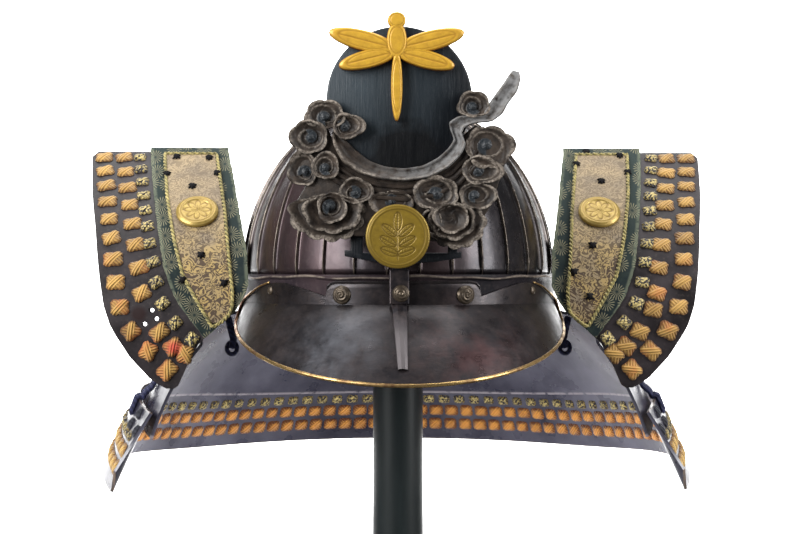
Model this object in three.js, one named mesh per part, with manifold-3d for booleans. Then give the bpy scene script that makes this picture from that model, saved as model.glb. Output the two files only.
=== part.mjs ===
// Samurai helmet on a plain stand, in millimetres.
// +X is to the right as seen from the front, -Y is the front and +Z is up.
// The origin is the centre of the underside of the stand's base.
import * as THREE from "three";
import { mergeVertices } from "three/addons/utils/BufferGeometryUtils.js";
import Module from "manifold-3d";

// Clearance that pieces resting on each other keep
const GAP = 0.3;

// Bowl: half an ellipsoid of narrow plates that stands on its base band
const PLATES = 32;
const BOWL_HALF_WIDTH = 104.5;
const LENGTH_RATIO = 1.168;
const BOWL_HEIGHT = 118;
const BOWL_WALL = 2.2;
const BASE_Z = 230;
const CROWN_OPENING = 12;
const BOWL_RINGS = 8;
const RING_HEIGHT = 5;
const RING_WIDTH = 6;
const BAND_HEIGHT = 24;
const BAND_HALF_WIDTH = 106;
const BAND_WALL = 2.2;
const BAND_SEGMENTS = 48;

// Visor: a flange on the band, bent out to a drooping rim
const SHEET_WALL = 1.6;
const FLANGE_HALF_WIDTH = 108.3;
const VISOR_SPREAD = 76;
const VISOR_TIP = { x: 107, y: -35, z: 201 };
const VISOR_REACH = 132;
const VISOR_DROOP = 34;
const VISOR_BULGE = 3;
const VISOR_BEND_Z = 212;
const RIM_RADIUS = 1.6;
const RIM_END_CLEARANCE = 1.3;
const RIVET_RADIUS = 5.8;
const RIVET_HEIGHT = 3;
const EAR_RIVET_RADIUS = 2.6;
const EAR_RIVET_HEIGHT = 1.4;
const RIVET_Z = 218;

// Neck guard: an upper lame on the band and a lower one laced outside it
const LAME_WALL = 2;
const UPPER_TOP_Z = 206;
const UPPER_FLANGE = 8;
const UPPER_BACK_Z = 135.5;
const UPPER_END_DROP = 13;
const UPPER_SIDE_RISE = 7;
const UPPER_CURL = 8;
const SIDE_TURN = 75;
const END_FROM = 80;
const END_TO = 108;
const UPPER_SPREAD = 70;
const UPPER_DEPTH = 61;
const UPPER_BULGE = 0.55;
const UPPER_FRONT_Y = -57.5;
const UPPER_TOP_TURN = 100;
const UPPER_COLUMNS = 26;
const LOWER_TURN = 107.5;
const LOWER_ROUND_FROM = 103;
const LOWER_TOP = { across: 180, back: 195, z: 149 };
const LOWER_EDGE = { across: 203.6, back: 215, z: 96 };
const LOWER_END_DROP = 8;
const LOWER_SIDE_RISE = 5;
const LOWER_CURL = 10;
const LOWER_CORNER_RISE = 16;
const LOWER_STEPS = 24;
const LACE_WIDTH = 8;
const LACE_THICKNESS = 1.2;
const LACE_GAP = 0.6;
const LACE_TURNS = [-94.4, -68.7, -42.9, -25.75, 0, 25.75, 42.9, 68.7, 94.4];
const CORD_RADIUS = 2.4;
const CORD_LIFT = 1.8;

// Wings: plates that face the front and curve back towards their tops
const WING_WALL = 2;
const WING_FRONT_Y = -60;
const WING_DEPTH = 94;
const WING_BEND_Z = 198;
const WING_BEND_HEIGHT = 118;
const WING_BEND_POWER = 1.8;
const WING_COLUMNS = 5;
const LAYER = 1;
const BRAID_RADIUS = 1.1;
const BRAID_TOP_Z = 312;
const BOSS = { x: 134.5, z: 269.5, radius: 14, height: 3.4 };
const WING_HOLES = [
  { x: -160.2, z: 207.2 },
  { x: -157.2, z: 201.7 },
  { x: -164.7, z: 198.3 },
];
const WING_HOLE_RADIUS = 1.6;
const KNOTS_PER_ROW = 12;
const KNOT = { half_length: 4.6, half_width: 4.6, height: 2.4 };
const THREAD = { half_width: 1, height: 1 };
const LAME_KNOT_HEIGHT = 2;

// Crest: carved wood on a foot that stands in a clip on the visor
const CREST_BACK_Y = -132;
const DISC = { x: -3.2, z: 335.5, radius: 43.7, thickness: 6 };
const CLOUD_BACK_Y = CREST_BACK_Y - DISC.thickness - GAP;
const CLOUD_DEPTH = 9;
const FIGURE_DEPTH = 6;
const MEDALLION = { x: -4.7, z: 253, radius: 19, thickness: 3.4 };
const FOOT_THICKNESS = 6.4;
const HOLDER = { x: -3.1, half_width: 6, top_z: 233.5, bottom_z: 212.6 };
const TENON = { half_width: 4, thickness: 1.6, bottom_z: 216.2 };
const TONGUE = { top_width: 4.4, tip_width: 2.2, reach: 0.86, thickness: 1.8 };

// Stand: a round base, a post and a head that fits the bowl's crown
const STAND_BASE = { radius: 105, height: 18, chamfer: 3 };
const POST_RADIUS = 17;
const HEAD_RADIUS = 50;
const HEAD_GAP = 0.5;
const HEAD_DEPTH = 12;

const { sin, cos, PI, abs, acos, max, min } = Math;
const radians = THREE.MathUtils.degToRad;
const wasm = await Module();
wasm.setup();

// The value at a place in a table of [place, value] rows, straight between rows
function along(table, place) {
  let row = 1;
  while (row < table.length - 1 && table[row][0] < place) row += 1;
  const [from, value] = table[row - 1];
  const [to, next] = table[row];
  const share = min(1, max(0, (place - from) / (to - from)));
  return value + (next - value) * share;
}

// Evenly spaced values, both ends included
function spaced(from, to, steps) {
  return Array.from({ length: steps + 1 }, (_, i) => from + ((to - from) * i) / steps);
}

// Triangles on shared points as one closed body whose faces point out
function body(points, triangles) {
  const flat = new Float32Array(points.flatMap((p) => [p.x, p.y, p.z]));
  const geometry = new THREE.BufferGeometry();
  geometry.setAttribute("position", new THREE.BufferAttribute(flat, 3));
  geometry.setIndex(triangles);
  return closed(geometry);
}

// A geometry with its shared vertices merged, its collapsed faces dropped and its faces pointing out
function closed(geometry) {
  const bare = new THREE.BufferGeometry();
  bare.setAttribute("position", geometry.getAttribute("position"));
  bare.setIndex(geometry.index);
  const merged = mergeVertices(bare, 1e-3);
  const place = merged.getAttribute("position");
  const index = merged.index.array;
  const corner = (i) => new THREE.Vector3().fromBufferAttribute(place, index[i]);
  const kept = [];
  let volume = 0;
  for (let i = 0; i < index.length; i += 3) {
    const [a, b, c] = [index[i], index[i + 1], index[i + 2]];
    if (a === b || b === c || c === a) continue;
    kept.push([a, b, c]);
    volume += corner(i).dot(corner(i + 1).cross(corner(i + 2)));
  }
  merged.setIndex(kept.flatMap(([a, b, c]) => (volume > 0 ? [a, b, c] : [a, c, b])));
  return merged;
}

// Booleans: a geometry as a solid, and a solid as a geometry
function solid(geometry) {
  const made = closed(geometry);
  return new wasm.Manifold(
    new wasm.Mesh({
      numProp: 3,
      vertProperties: new Float32Array(made.getAttribute("position").array),
      triVerts: new Uint32Array(made.index.array),
    }),
  );
}

function geometryOf(made) {
  const mesh = made.getMesh();
  const geometry = new THREE.BufferGeometry();
  geometry.setAttribute("position", new THREE.BufferAttribute(mesh.vertProperties, 3));
  geometry.setIndex(new THREE.BufferAttribute(mesh.triVerts, 1));
  return geometry;
}

// The outward normal of a surface place(u, v), from small steps either way
function normalAt(place, u, v) {
  const step = 1e-3;
  const alongU = place(u + step, v).sub(place(u - step, v));
  const alongV = place(u, v + step).sub(place(u, v - step));
  return alongU.cross(alongV).normalize();
}

// A surface lifted off place(u, v) by a distance along its normal
function lifted(place, distance) {
  return (u, v) => place(u, v).addScaledVector(normalAt(place, u, v), distance);
}

// A wall between the surface place(u, v) and the same surface lifted by the thickness
function wall(place, columns, rows, thickness) {
  const points = [];
  for (const surface of [place, lifted(place, thickness)])
    for (const v of rows) for (const u of columns) points.push(surface(u, v));
  const across = columns.length;
  const side = across * rows.length;
  const triangles = [];
  const quad = (a, b, c, d) => triangles.push(a, b, c, a, c, d);
  for (let r = 0; r < rows.length - 1; r += 1)
    for (let c = 0; c < across - 1; c += 1) {
      const at = r * across + c;
      quad(at, at + 1, at + across + 1, at + across);
      quad(side + at, side + at + across, side + at + across + 1, side + at + 1);
    }
  const last = (rows.length - 1) * across;
  for (let c = 0; c < across - 1; c += 1) {
    quad(c, side + c, side + c + 1, c + 1);
    quad(last + c, last + c + 1, side + last + c + 1, side + last + c);
  }
  for (let r = 0; r < rows.length - 1; r += 1) {
    const at = r * across;
    const end = at + across - 1;
    quad(at, at + across, side + at + across, side + at);
    quad(end, side + end, side + end + across, end + across);
  }
  return body(points, triangles);
}

// Sections of equal point count joined in order, with flat ends unless they close into a ring
function loft(sections, ring = false) {
  const count = sections[0].length;
  const triangles = [];
  const joins = ring ? sections.length : sections.length - 1;
  for (let s = 0; s < joins; s += 1)
    for (let p = 0; p < count; p += 1) {
      const a = s * count + p;
      const b = s * count + ((p + 1) % count);
      const c = ((s + 1) % sections.length) * count + ((p + 1) % count);
      const d = ((s + 1) % sections.length) * count + p;
      triangles.push(a, b, c, a, c, d);
    }
  const end = (sections.length - 1) * count;
  if (!ring)
    for (let p = 1; p < count - 1; p += 1) {
      triangles.push(0, p + 1, p);
      triangles.push(end, end + p, end + p + 1);
    }
  return body(sections.flat(), triangles);
}

// A round rod along points, its sections turned about the given facing direction
function rod(points, facing, radius, sides, ring = false) {
  const count = points.length;
  const sections = points.map((point, i) => {
    const before = points[ring ? (i + count - 1) % count : max(0, i - 1)];
    const after = points[ring ? (i + 1) % count : min(count - 1, i + 1)];
    const forward = after.clone().sub(before).normalize();
    const side = forward.clone().cross(facing).normalize();
    const up = side.clone().cross(forward);
    return spaced(0, 2 * PI, sides)
      .slice(1)
      .map((turn) =>
        point
          .clone()
          .addScaledVector(side, radius * cos(turn))
          .addScaledVector(up, radius * sin(turn)),
      );
  });
  return loft(sections, ring);
}

// A profile of [radius, height] points turned about Z and stretched along Y
function turned(profile, segments, ratio = 1, start = 0) {
  const points = profile.map(([radius, height]) => new THREE.Vector2(radius, height));
  const geometry = new THREE.LatheGeometry(points, segments, start);
  geometry.scale(1, 1, ratio);
  geometry.rotateX(PI / 2);
  return closed(geometry);
}

// An outline in X and Z pushed forward from the plane y = back
function pushed(shape, back, depth, curveSegments = 8) {
  const geometry = new THREE.ExtrudeGeometry(shape, { depth, bevelEnabled: false, curveSegments });
  geometry.rotateX(PI / 2);
  geometry.translate(0, back, 0);
  return closed(geometry);
}

// A low dome with a flat back, its axis along the given direction
function dome(radius, height, segments, at, direction) {
  const rise = spaced(0, PI / 2, 3).map((turn) => [radius * cos(turn), height * sin(turn)]);
  const geometry = turned([[0, 0], ...rise], segments);
  const turn = new THREE.Quaternion().setFromUnitVectors(new THREE.Vector3(0, 0, 1), direction);
  geometry.applyQuaternion(turn);
  geometry.translate(at.x, at.y, at.z);
  return closed(geometry);
}

const group = new THREE.Group();
const finishes = {
  steel: { color: 0x4a3f3e, roughness: 0.38, metalness: 0.85 },
  brass: { color: 0xb08a4a, roughness: 0.4, metalness: 0.9 },
  bronze: { color: 0x5b4a3c, roughness: 0.5, metalness: 0.7 },
  lacquer: { color: 0x1d1a1f, roughness: 0.2, metalness: 0 },
  leather: { color: 0xb79a80, roughness: 0.8, metalness: 0 },
  cloth: { color: 0x2c4a48, roughness: 0.9, metalness: 0 },
  braid: { color: 0xb3a24e, roughness: 0.7, metalness: 0 },
  orange: { color: 0xc98a4a, roughness: 0.75, metalness: 0 },
  speckled: { color: 0x8c7434, roughness: 0.75, metalness: 0 },
  indigo: { color: 0x1b2140, roughness: 0.8, metalness: 0 },
  gilt: { color: 0xd9a62e, roughness: 0.35, metalness: 0.6 },
  wood: { color: 0x4b423e, roughness: 0.55, metalness: 0 },
  black: { color: 0x1b1d20, roughness: 0.5, metalness: 0 },
};
const materials = Object.fromEntries(
  Object.entries(finishes).map(([name, look]) => [name, new THREE.MeshStandardMaterial(look)]),
);

function add(name, geometry, finish) {
  const mesh = new THREE.Mesh(geometry, materials[finish]);
  mesh.name = name;
  group.add(mesh);
}

// Bowl, crown ring and base band
const crownTurn = acos(CROWN_OPENING / BOWL_HALF_WIDTH);
const domeProfile = (inset, lowest, highest) =>
  spaced(lowest, highest, BOWL_RINGS).map((rise) => [
    (BOWL_HALF_WIDTH - inset) * cos(rise),
    BASE_Z + (BOWL_HEIGHT - inset) * sin(rise),
  ]);
const outerDome = domeProfile(0, 0, crownTurn);
const innerDome = domeProfile(BOWL_WALL, 0, crownTurn).reverse();
const bowlProfile = [...outerDome, ...innerDome, outerDome[0]];
add("bowl", turned(bowlProfile, PLATES, LENGTH_RATIO, PI / PLATES), "steel");

const crownZ = BASE_Z + BOWL_HEIGHT * sin(crownTurn) + GAP;
const ringProfile = [
  [CROWN_OPENING, crownZ],
  [CROWN_OPENING + RING_WIDTH, crownZ],
  [CROWN_OPENING + RING_WIDTH, crownZ + 1.5],
  [CROWN_OPENING + 1.5, crownZ + RING_HEIGHT],
  [CROWN_OPENING, crownZ + RING_HEIGHT],
  [CROWN_OPENING, crownZ],
];
add("crown_ring", turned(ringProfile, 24, LENGTH_RATIO), "brass");

const bandTop = BASE_Z - GAP;
const bandFoot = BASE_Z - BAND_HEIGHT;
const bandProfile = [
  [BAND_HALF_WIDTH, bandFoot],
  [BAND_HALF_WIDTH, bandTop],
  [BAND_HALF_WIDTH - BAND_WALL, bandTop],
  [BAND_HALF_WIDTH - BAND_WALL, bandFoot],
  [BAND_HALF_WIDTH, bandFoot],
];
add("base_band", turned(bandProfile, BAND_SEGMENTS, LENGTH_RATIO), "steel");

// Visor: its top edge by the turn from the front in degrees, with a notch beside each raised ear
const VISOR_TOP = [
  [0, 226.5],
  [25.6, 226.5],
  [26.2, 217],
  [43, 225],
  [51, 224.5],
  [60.5, 219],
  [70, 213],
  [76, 206.5],
];
const VISOR_TURNS = [0, 6.4, 12.8, 19.2, 25.6, 26.2, 34, 43, 51, 60.5, 66, 71, 76];
const VISOR_ROWS = [-1, 0, 0.25, 0.5, 0.75, 1];
const visorTurns = [...VISOR_TURNS.slice(1).map((turn) => -turn).reverse(), ...VISOR_TURNS];

function onFlange(turn, z, halfWidth = FLANGE_HALF_WIDTH) {
  const angle = radians(turn);
  return new THREE.Vector3(halfWidth * sin(angle), -halfWidth * LENGTH_RATIO * cos(angle), z);
}

function visorEdge(turn) {
  const angle = radians((turn * 90) / VISOR_SPREAD);
  return new THREE.Vector3(
    VISOR_TIP.x * sin(angle),
    VISOR_TIP.y - VISOR_REACH * cos(angle),
    VISOR_TIP.z - VISOR_DROOP * cos(angle),
  );
}

// Row -1 is the top edge, row 0 the bend and row 1 the rim. The normal of this surface points inwards.
function onVisor(turn, row) {
  const top = along(VISOR_TOP, abs(turn));
  const bend = min(VISOR_BEND_Z, top - 2);
  if (row <= 0) return onFlange(turn, bend - (top - bend) * row);
  const point = onFlange(turn, bend).lerp(visorEdge(turn), row);
  const share = cos(radians((turn * 90) / VISOR_SPREAD));
  point.z += VISOR_BULGE * share * sin(PI * row);
  return point;
}
add("visor", wall(onVisor, visorTurns, VISOR_ROWS, SHEET_WALL), "steel");

const rimTurns = spaced(-VISOR_SPREAD, VISOR_SPREAD, 36);
const rimPoints = rimTurns.map((turn) => {
  const edge = onVisor(turn, 1);
  const outward = edge.clone().sub(onVisor(turn, 0.7)).normalize();
  const share = (turn / VISOR_SPREAD) ** 2;
  return edge.addScaledVector(outward, RIM_RADIUS + GAP + RIM_END_CLEARANCE * share);
});
add("visor_rim", rod(rimPoints, new THREE.Vector3(0, 0, 1), RIM_RADIUS, 8), "brass");

// Rivets, whose flat backs lie on the flange
function rivet(name, turn, z, radius, height, segments) {
  const out = new THREE.Vector3(sin(radians(turn)), -cos(radians(turn)) / LENGTH_RATIO, 0).normalize();
  const base = onFlange(turn, z).addScaledVector(out, 2 * GAP);
  add(name, dome(radius, height, segments, base, out), "bronze");
}
rivet("rivet_left", -20.4, RIVET_Z, RIVET_RADIUS, RIVET_HEIGHT, 14);
rivet("rivet_right", 20.4, RIVET_Z, RIVET_RADIUS, RIVET_HEIGHT, 14);
rivet("ear_rivet_left", -50, RIVET_Z + 2, EAR_RIVET_RADIUS, EAR_RIVET_HEIGHT, 10);
rivet("ear_rivet_right", 50, RIVET_Z + 2, EAR_RIVET_RADIUS, EAR_RIVET_HEIGHT, 10);

// Crest foot: a sagging bar with two legs behind the clouds and a tenon down into the clip
const footOutline = [
  [-36.1, 245],
  [-32.5, 245],
  [-32.5, 262],
  [-25.2, 262],
  [-25.2, 243.5],
  [26, 243.5],
  [26, 258],
  [31.4, 258],
  [31.4, 244],
  [34, 244],
  [34, 240.5],
  [18, 238],
  [HOLDER.x + TENON.half_width + 2, 237],
  [HOLDER.x - TENON.half_width - 2, 237],
  [-18, 238],
  [-36.1, 241.5],
];
const flatShape = (outline) => new THREE.Shape(outline.map(([x, z]) => new THREE.Vector2(x, z)));
const flangeFront = -FLANGE_HALF_WIDTH * LENGTH_RATIO;
const footBack = CLOUD_BACK_Y + GAP + FOOT_THICKNESS;
const tenonBack = flangeFront - 2 * GAP;
const tenonOutline = [
  [HOLDER.x - TENON.half_width, TENON.bottom_z],
  [HOLDER.x + TENON.half_width, TENON.bottom_z],
  [HOLDER.x + TENON.half_width, 243],
  [HOLDER.x - TENON.half_width, 243],
];
const blockOutline = [
  [HOLDER.x - TENON.half_width - 2, 237],
  [HOLDER.x + TENON.half_width + 2, 237],
  [HOLDER.x + TENON.half_width + 2, 243],
  [HOLDER.x - TENON.half_width - 2, 243],
];
const footSolid = solid(pushed(flatShape(footOutline), footBack, FOOT_THICKNESS));
const blockSolid = solid(pushed(flatShape(blockOutline), tenonBack, tenonBack - footBack + 1));
const tenonSolid = solid(pushed(flatShape(tenonOutline), tenonBack, TENON.thickness));
add("crest_foot", geometryOf(footSolid.add(blockSolid).add(tenonSolid)), "wood");

// Clip: a channel round the tenon, with a tongue that tapers down the visor
const holderFront = tenonBack - TENON.thickness - GAP;
const holderSections = [HOLDER.top_z, HOLDER.bottom_z].map((z) => {
  const outer = HOLDER.half_width;
  const inner = TENON.half_width + GAP;
  const skin = 1.6;
  return [
    [-outer, tenonBack],
    [-outer, holderFront - skin],
    [outer, holderFront - skin],
    [outer, tenonBack],
    [inner, tenonBack],
    [inner, holderFront],
    [-inner, holderFront],
    [-inner, tenonBack],
  ].map(([x, y]) => new THREE.Vector3(HOLDER.x + x, y, z));
});
const tongueRows = [
  [0, HOLDER.bottom_z + 3],
  ...spaced(0.12, TONGUE.reach, 4).map((row) => [row, null]),
];
const tongueSections = tongueRows.map(([row, flatZ]) => {
  const share = row / TONGUE.reach;
  const half = TONGUE.top_width + (TONGUE.tip_width - TONGUE.top_width) * share;
  const middle = HOLDER.x + share * 1.4;
  const turn = (middle / FLANGE_HALF_WIDTH) * 57.3;
  const base = flatZ === null ? lifted(onVisor, -2 * GAP)(turn, row) : onFlange(turn, flatZ);
  const lift = flatZ === null ? normalAt(onVisor, turn, row).negate() : new THREE.Vector3(0, -1, 0);
  if (flatZ !== null) base.y = tenonBack;
  const corner = (side, height) =>
    new THREE.Vector3(middle + side * half, base.y, base.z).addScaledVector(lift, height);
  return [corner(-1, 0), corner(1, 0), corner(0.5, TONGUE.thickness), corner(-0.5, TONGUE.thickness)];
});
const bridge = [
  [HOLDER.x - TENON.half_width, HOLDER.bottom_z - 0.5],
  [HOLDER.x + TENON.half_width, HOLDER.bottom_z - 0.5],
  [HOLDER.x + TENON.half_width, TENON.bottom_z - GAP],
  [HOLDER.x - TENON.half_width, TENON.bottom_z - GAP],
];
const bridgeSolid = solid(pushed(flatShape(bridge), tenonBack, 3.4));
const holder = solid(holderEnds(holderSections)).add(solid(loft(tongueSections))).add(bridgeSolid);
add("crest_holder", geometryOf(holder), "bronze");

// The channel's section isn't convex, so its ends are cut from an outline instead of a fan
function holderEnds([top, bottom]) {
  const shape = new THREE.Shape(top.map((point) => new THREE.Vector2(point.x, point.y)));
  const geometry = new THREE.ExtrudeGeometry(shape, { depth: top[0].z - bottom[0].z, bevelEnabled: false });
  geometry.translate(0, 0, bottom[0].z);
  return closed(geometry);
}
const forward = new THREE.Vector3(0, -1, 0);
const centreRivetAt = new THREE.Vector3(HOLDER.x + 1, holderFront - 1.6 - GAP, RIVET_Z + 1);
add("rivet_centre", dome(RIVET_RADIUS - 0.6, RIVET_HEIGHT, 14, centreRivetAt, forward), "bronze");

// Crest disc
const discShape = new THREE.Shape();
discShape.absarc(DISC.x, DISC.z, DISC.radius, 0, 2 * PI);
add("crest_disc", pushed(discShape, CREST_BACK_Y, DISC.thickness, 20), "lacquer");

// Carved clouds: a swirl for each row, with the height of its centre, and the bands that join them
const SWIRLS = [
  { x: -47.6, z: 325, radius: 9.5, depth: 9 },
  { x: -57, z: 314, radius: 10, depth: 10 },
  { x: -34, z: 318, radius: 7.5, depth: 9 },
  { x: -61, z: 294.5, radius: 9.5, depth: 9 },
  { x: -47, z: 296, radius: 8.5, depth: 11 },
  { x: -28.5, z: 280.5, radius: 9, depth: 10 },
  { x: -52, z: 268, radius: 17.5, depth: 8 },
  { x: -38, z: 268, radius: 15.5, depth: 12 },
  { x: -4.7, z: 267, radius: 13.5, depth: 12 },
  { x: 18, z: 280, radius: 11.5, depth: 11 },
  { x: 43.6, z: 276.5, radius: 10.5, depth: 9 },
  { x: 46, z: 293.5, radius: 10.5, depth: 10 },
  { x: 50.5, z: 309, radius: 12.5, depth: 9 },
  { x: 41, z: 331, radius: 8, depth: 9 },
  { x: 16, z: 262, radius: 8, depth: 9 },
  { x: 31.5, z: 262, radius: 15, depth: 12 },
];
const swirls = SWIRLS.map(({ x, z, radius, depth }) => {
  const shape = new THREE.Shape();
  shape.absarc(x, z, radius, 0, 2 * PI);
  return solid(pushed(shape, CLOUD_BACK_Y, depth, 7));
});
const crescent = new THREE.Shape();
crescent.absarc(DISC.x, DISC.z, 50, radians(-158), radians(-20), false);
crescent.absarc(DISC.x, DISC.z, 40.5, radians(-20), radians(-158), true);
const tail = flatShape([
  [28, 316],
  [33, 323.4],
  [51, 335.7],
  [62.7, 345.8],
  [65, 352.4],
  [69.4, 352.2],
  [69.1, 342.5],
  [61.7, 333.5],
  [60, 326],
  [48, 318],
  [40, 306],
]);
const filler = flatShape([
  [-52, 300],
  [-38, 300],
  [-24, 290],
  [20, 290],
  [38, 300],
  [50, 300],
  [46, 268],
  [-20, 266],
  [-52, 272],
]);
const bands = [
  [crescent, CLOUD_DEPTH],
  [tail, 5],
  [filler, 4],
];
const clouds = bands.reduce(
  (whole, [shape, depth]) => whole.add(solid(pushed(shape, CLOUD_BACK_Y, depth, 8))),
  swirls.reduce((whole, next) => whole.add(next)),
);
add("crest_clouds", geometryOf(clouds), "wood");

// Gilt dragonfly on the disc: a body with two pairs of wings, each an ellipse turned about its root
const FIGURE = { x: -5, z: 358, y: CREST_BACK_Y - DISC.thickness - GAP };
const FIGURE_PARTS = [
  { x: 0, z: 24, across: 5.5, along: 5, turn: 0 },
  { x: 0, z: 12, across: 6, along: 11, turn: 0 },
  { x: 0, z: -15, across: 3.4, along: 21, turn: 0 },
  { x: -20, z: 12, across: 21, along: 6, turn: -14 },
  { x: 20, z: 12, across: 21, along: 6, turn: 14 },
  { x: -17, z: 1, across: 18, along: 5.4, turn: 14 },
  { x: 17, z: 1, across: 18, along: 5.4, turn: -14 },
];
const figure = FIGURE_PARTS.map((part) => {
  const shape = new THREE.Shape();
  const centre = [FIGURE.x + part.x, FIGURE.z + part.z];
  shape.absellipse(...centre, part.across, part.along, 0, 2 * PI, false, radians(part.turn));
  return solid(pushed(shape, FIGURE.y, FIGURE_DEPTH, 6));
}).reduce((whole, next) => whole.add(next));
add("crest_figure", geometryOf(figure), "gilt");

const cloudFront = CLOUD_BACK_Y - max(...SWIRLS.map(({ depth }) => depth));
const medallionShape = new THREE.Shape();
medallionShape.absarc(MEDALLION.x, MEDALLION.z, MEDALLION.radius, 0, 2 * PI);
const medallion = pushed(medallionShape, cloudFront - GAP, MEDALLION.thickness, 16);
add("crest_medallion", medallion, "gilt");

// Upper lame: rows run from its flange on the band, -0.1 to 0, down to its lower edge at 1
const UPPER_ROWS = [-0.1, 0, 0.03, 0.1, 0.22, 0.4, 0.65, 1];
const UPPER_TURN_SOFT = 0.12;
const UPPER_TURN_FULL = 0.25;

function upperSize(row) {
  const share = max(0, row) ** UPPER_BULGE;
  const backShare = max(0, row) ** 0.75;
  return {
    across: FLANGE_HALF_WIDTH + UPPER_SPREAD * share,
    back: FLANGE_HALF_WIDTH * LENGTH_RATIO + UPPER_DEPTH * backShare,
  };
}

function upperTurn(row) {
  const full = (acos(UPPER_FRONT_Y / upperSize(row).back) * 180) / PI;
  const share = min(1, max(0, (row - UPPER_TURN_SOFT) / (UPPER_TURN_FULL - UPPER_TURN_SOFT)));
  return UPPER_TOP_TURN + (full - UPPER_TOP_TURN) * share;
}

// Both lames rise a little at the sides, and their ends drop again and curl inwards
const endShare = (turn) => {
  const share = min(1, max(0, (abs(turn) - END_FROM) / (END_TO - END_FROM)));
  return share * share * (3 - 2 * share);
};
const sideShare = (turn, width) => Math.exp(-(((abs(turn) - SIDE_TURN) / width) ** 2));

function onUpper(turn, row) {
  const angle = radians(turn);
  const { across, back } = upperSize(row);
  const edge = UPPER_BACK_Z + UPPER_SIDE_RISE * sideShare(turn, 30) - UPPER_END_DROP * endShare(turn);
  const curl = Math.sign(turn) * UPPER_CURL * endShare(turn) * max(0, row) ** 2;
  const flange = (UPPER_FLANGE * max(0, -row)) / 0.1;
  const z = UPPER_TOP_Z + flange - (UPPER_TOP_Z - edge) * max(0, row);
  return new THREE.Vector3(across * sin(angle) - curl, back * cos(angle), z);
}
const onUpperShare = (share, row) => onUpper(share * upperTurn(row), row);
add("upper_lame", wall(onUpperShare, spaced(-1, 1, UPPER_COLUMNS), UPPER_ROWS, -LAME_WALL), "lacquer");

// Lower lame: row 0 is its top edge and row 1 its lower edge, whose front corners are rounded
const LOWER_ROWS = [0, 0.5, 1];
const lowerInner = spaced(-LOWER_ROUND_FROM, LOWER_ROUND_FROM, LOWER_STEPS);
const lowerTurns = [-LOWER_TURN, -105.6, ...lowerInner, 105.6, LOWER_TURN];

function onLower(turn, row) {
  const angle = radians(turn);
  const across = LOWER_TOP.across + (LOWER_EDGE.across - LOWER_TOP.across) * row;
  const back = LOWER_TOP.back + (LOWER_EDGE.back - LOWER_TOP.back) * row;
  const drop = LOWER_END_DROP * endShare(turn) - LOWER_SIDE_RISE * sideShare(turn, 20);
  const curl = Math.sign(turn) * LOWER_CURL * endShare(turn);
  const corner = max(0, (abs(turn) - LOWER_ROUND_FROM) / (LOWER_TURN - LOWER_ROUND_FROM));
  const edge = LOWER_EDGE.z - drop + LOWER_CORNER_RISE * corner ** 2;
  const top = LOWER_TOP.z - drop;
  return new THREE.Vector3(across * sin(angle) - curl, back * cos(angle), top + (edge - top) * row);
}
add("lower_lame", wall(onLower, lowerTurns, LOWER_ROWS, -LAME_WALL), "lacquer");

// Knot rows of the lower lame: [name, middle row, finish], each a band of its knots' outer form
const LAME_KNOT_ROWS = [
  ["top", 0.37, "speckled"],
  ["middle", 0.55, "orange"],
  ["bottom", 0.755, "orange"],
];
const LAME_KNOT_HALF = 0.078;
for (const [name, middle, finish] of LAME_KNOT_ROWS) {
  const rows = [middle - LAME_KNOT_HALF, middle + LAME_KNOT_HALF];
  const outside = lifted(onLower, GAP);
  const inside = lifted(onLower, -LAME_WALL - GAP);
  add("lame_knots_outside_" + name, wall(outside, lowerInner, rows, LAME_KNOT_HEIGHT), finish);
  add("lame_knots_inside_" + name, wall(inside, lowerInner, rows, -LAME_KNOT_HEIGHT), finish);
}

// Laces: each leaves the upper lame, crosses to the lower lame's top edge and folds over it
LACE_TURNS.forEach((turn, i) => {
  const up = new THREE.Vector3(0, 0, 1);
  const outward = normalAt(onLower, turn, 0.1);
  const sideways = onLower(turn + 0.1, 0).sub(onLower(turn - 0.1, 0)).normalize();
  const innerTop = lifted(onLower, -LAME_WALL)(turn, 0);
  const path = [
    { at: lifted(onUpper, LACE_GAP)(turn, 0.6), lift: normalAt(onUpper, turn, 0.6) },
    { at: lifted(onUpper, LACE_GAP)(turn, 0.72), lift: normalAt(onUpper, turn, 0.72) },
    { at: innerTop.addScaledVector(up, LACE_GAP), lift: up },
    { at: onLower(turn, 0).addScaledVector(up, LACE_GAP).addScaledVector(outward, LACE_GAP), lift: outward },
    { at: lifted(onLower, LACE_GAP)(turn, 0.18), lift: outward },
  ];
  const sections = path.map(({ at, lift }) =>
    [
      [-0.5, 0],
      [0.5, 0],
      [0.5, LACE_THICKNESS],
      [-0.5, LACE_THICKNESS],
    ].map(([across, height]) =>
      at
        .clone()
        .addScaledVector(sideways, across * LACE_WIDTH)
        .addScaledVector(lift, height),
    ),
  );
  add("lace_" + (i + 1), loft(sections), "indigo");
});

// Ends of cord that hang inside the front corners of the upper lame
const sides = [
  ["left", -1],
  ["right", 1],
];
for (const [name, side] of sides) {
  const start = lifted(onUpper, -LAME_WALL - CORD_LIFT)(side * 97, 0.02);
  const lean = new THREE.Vector3(-side * 2, -3, -7);
  const points = [0, 1, 2].map((step) => start.clone().addScaledVector(lean, step));
  points.push(points[2].clone().add(new THREE.Vector3(side, 0, -6)));
  add("corner_cord_" + name, rod(points, new THREE.Vector3(side, 0, 0), CORD_RADIUS, 8), "indigo");
}

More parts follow.
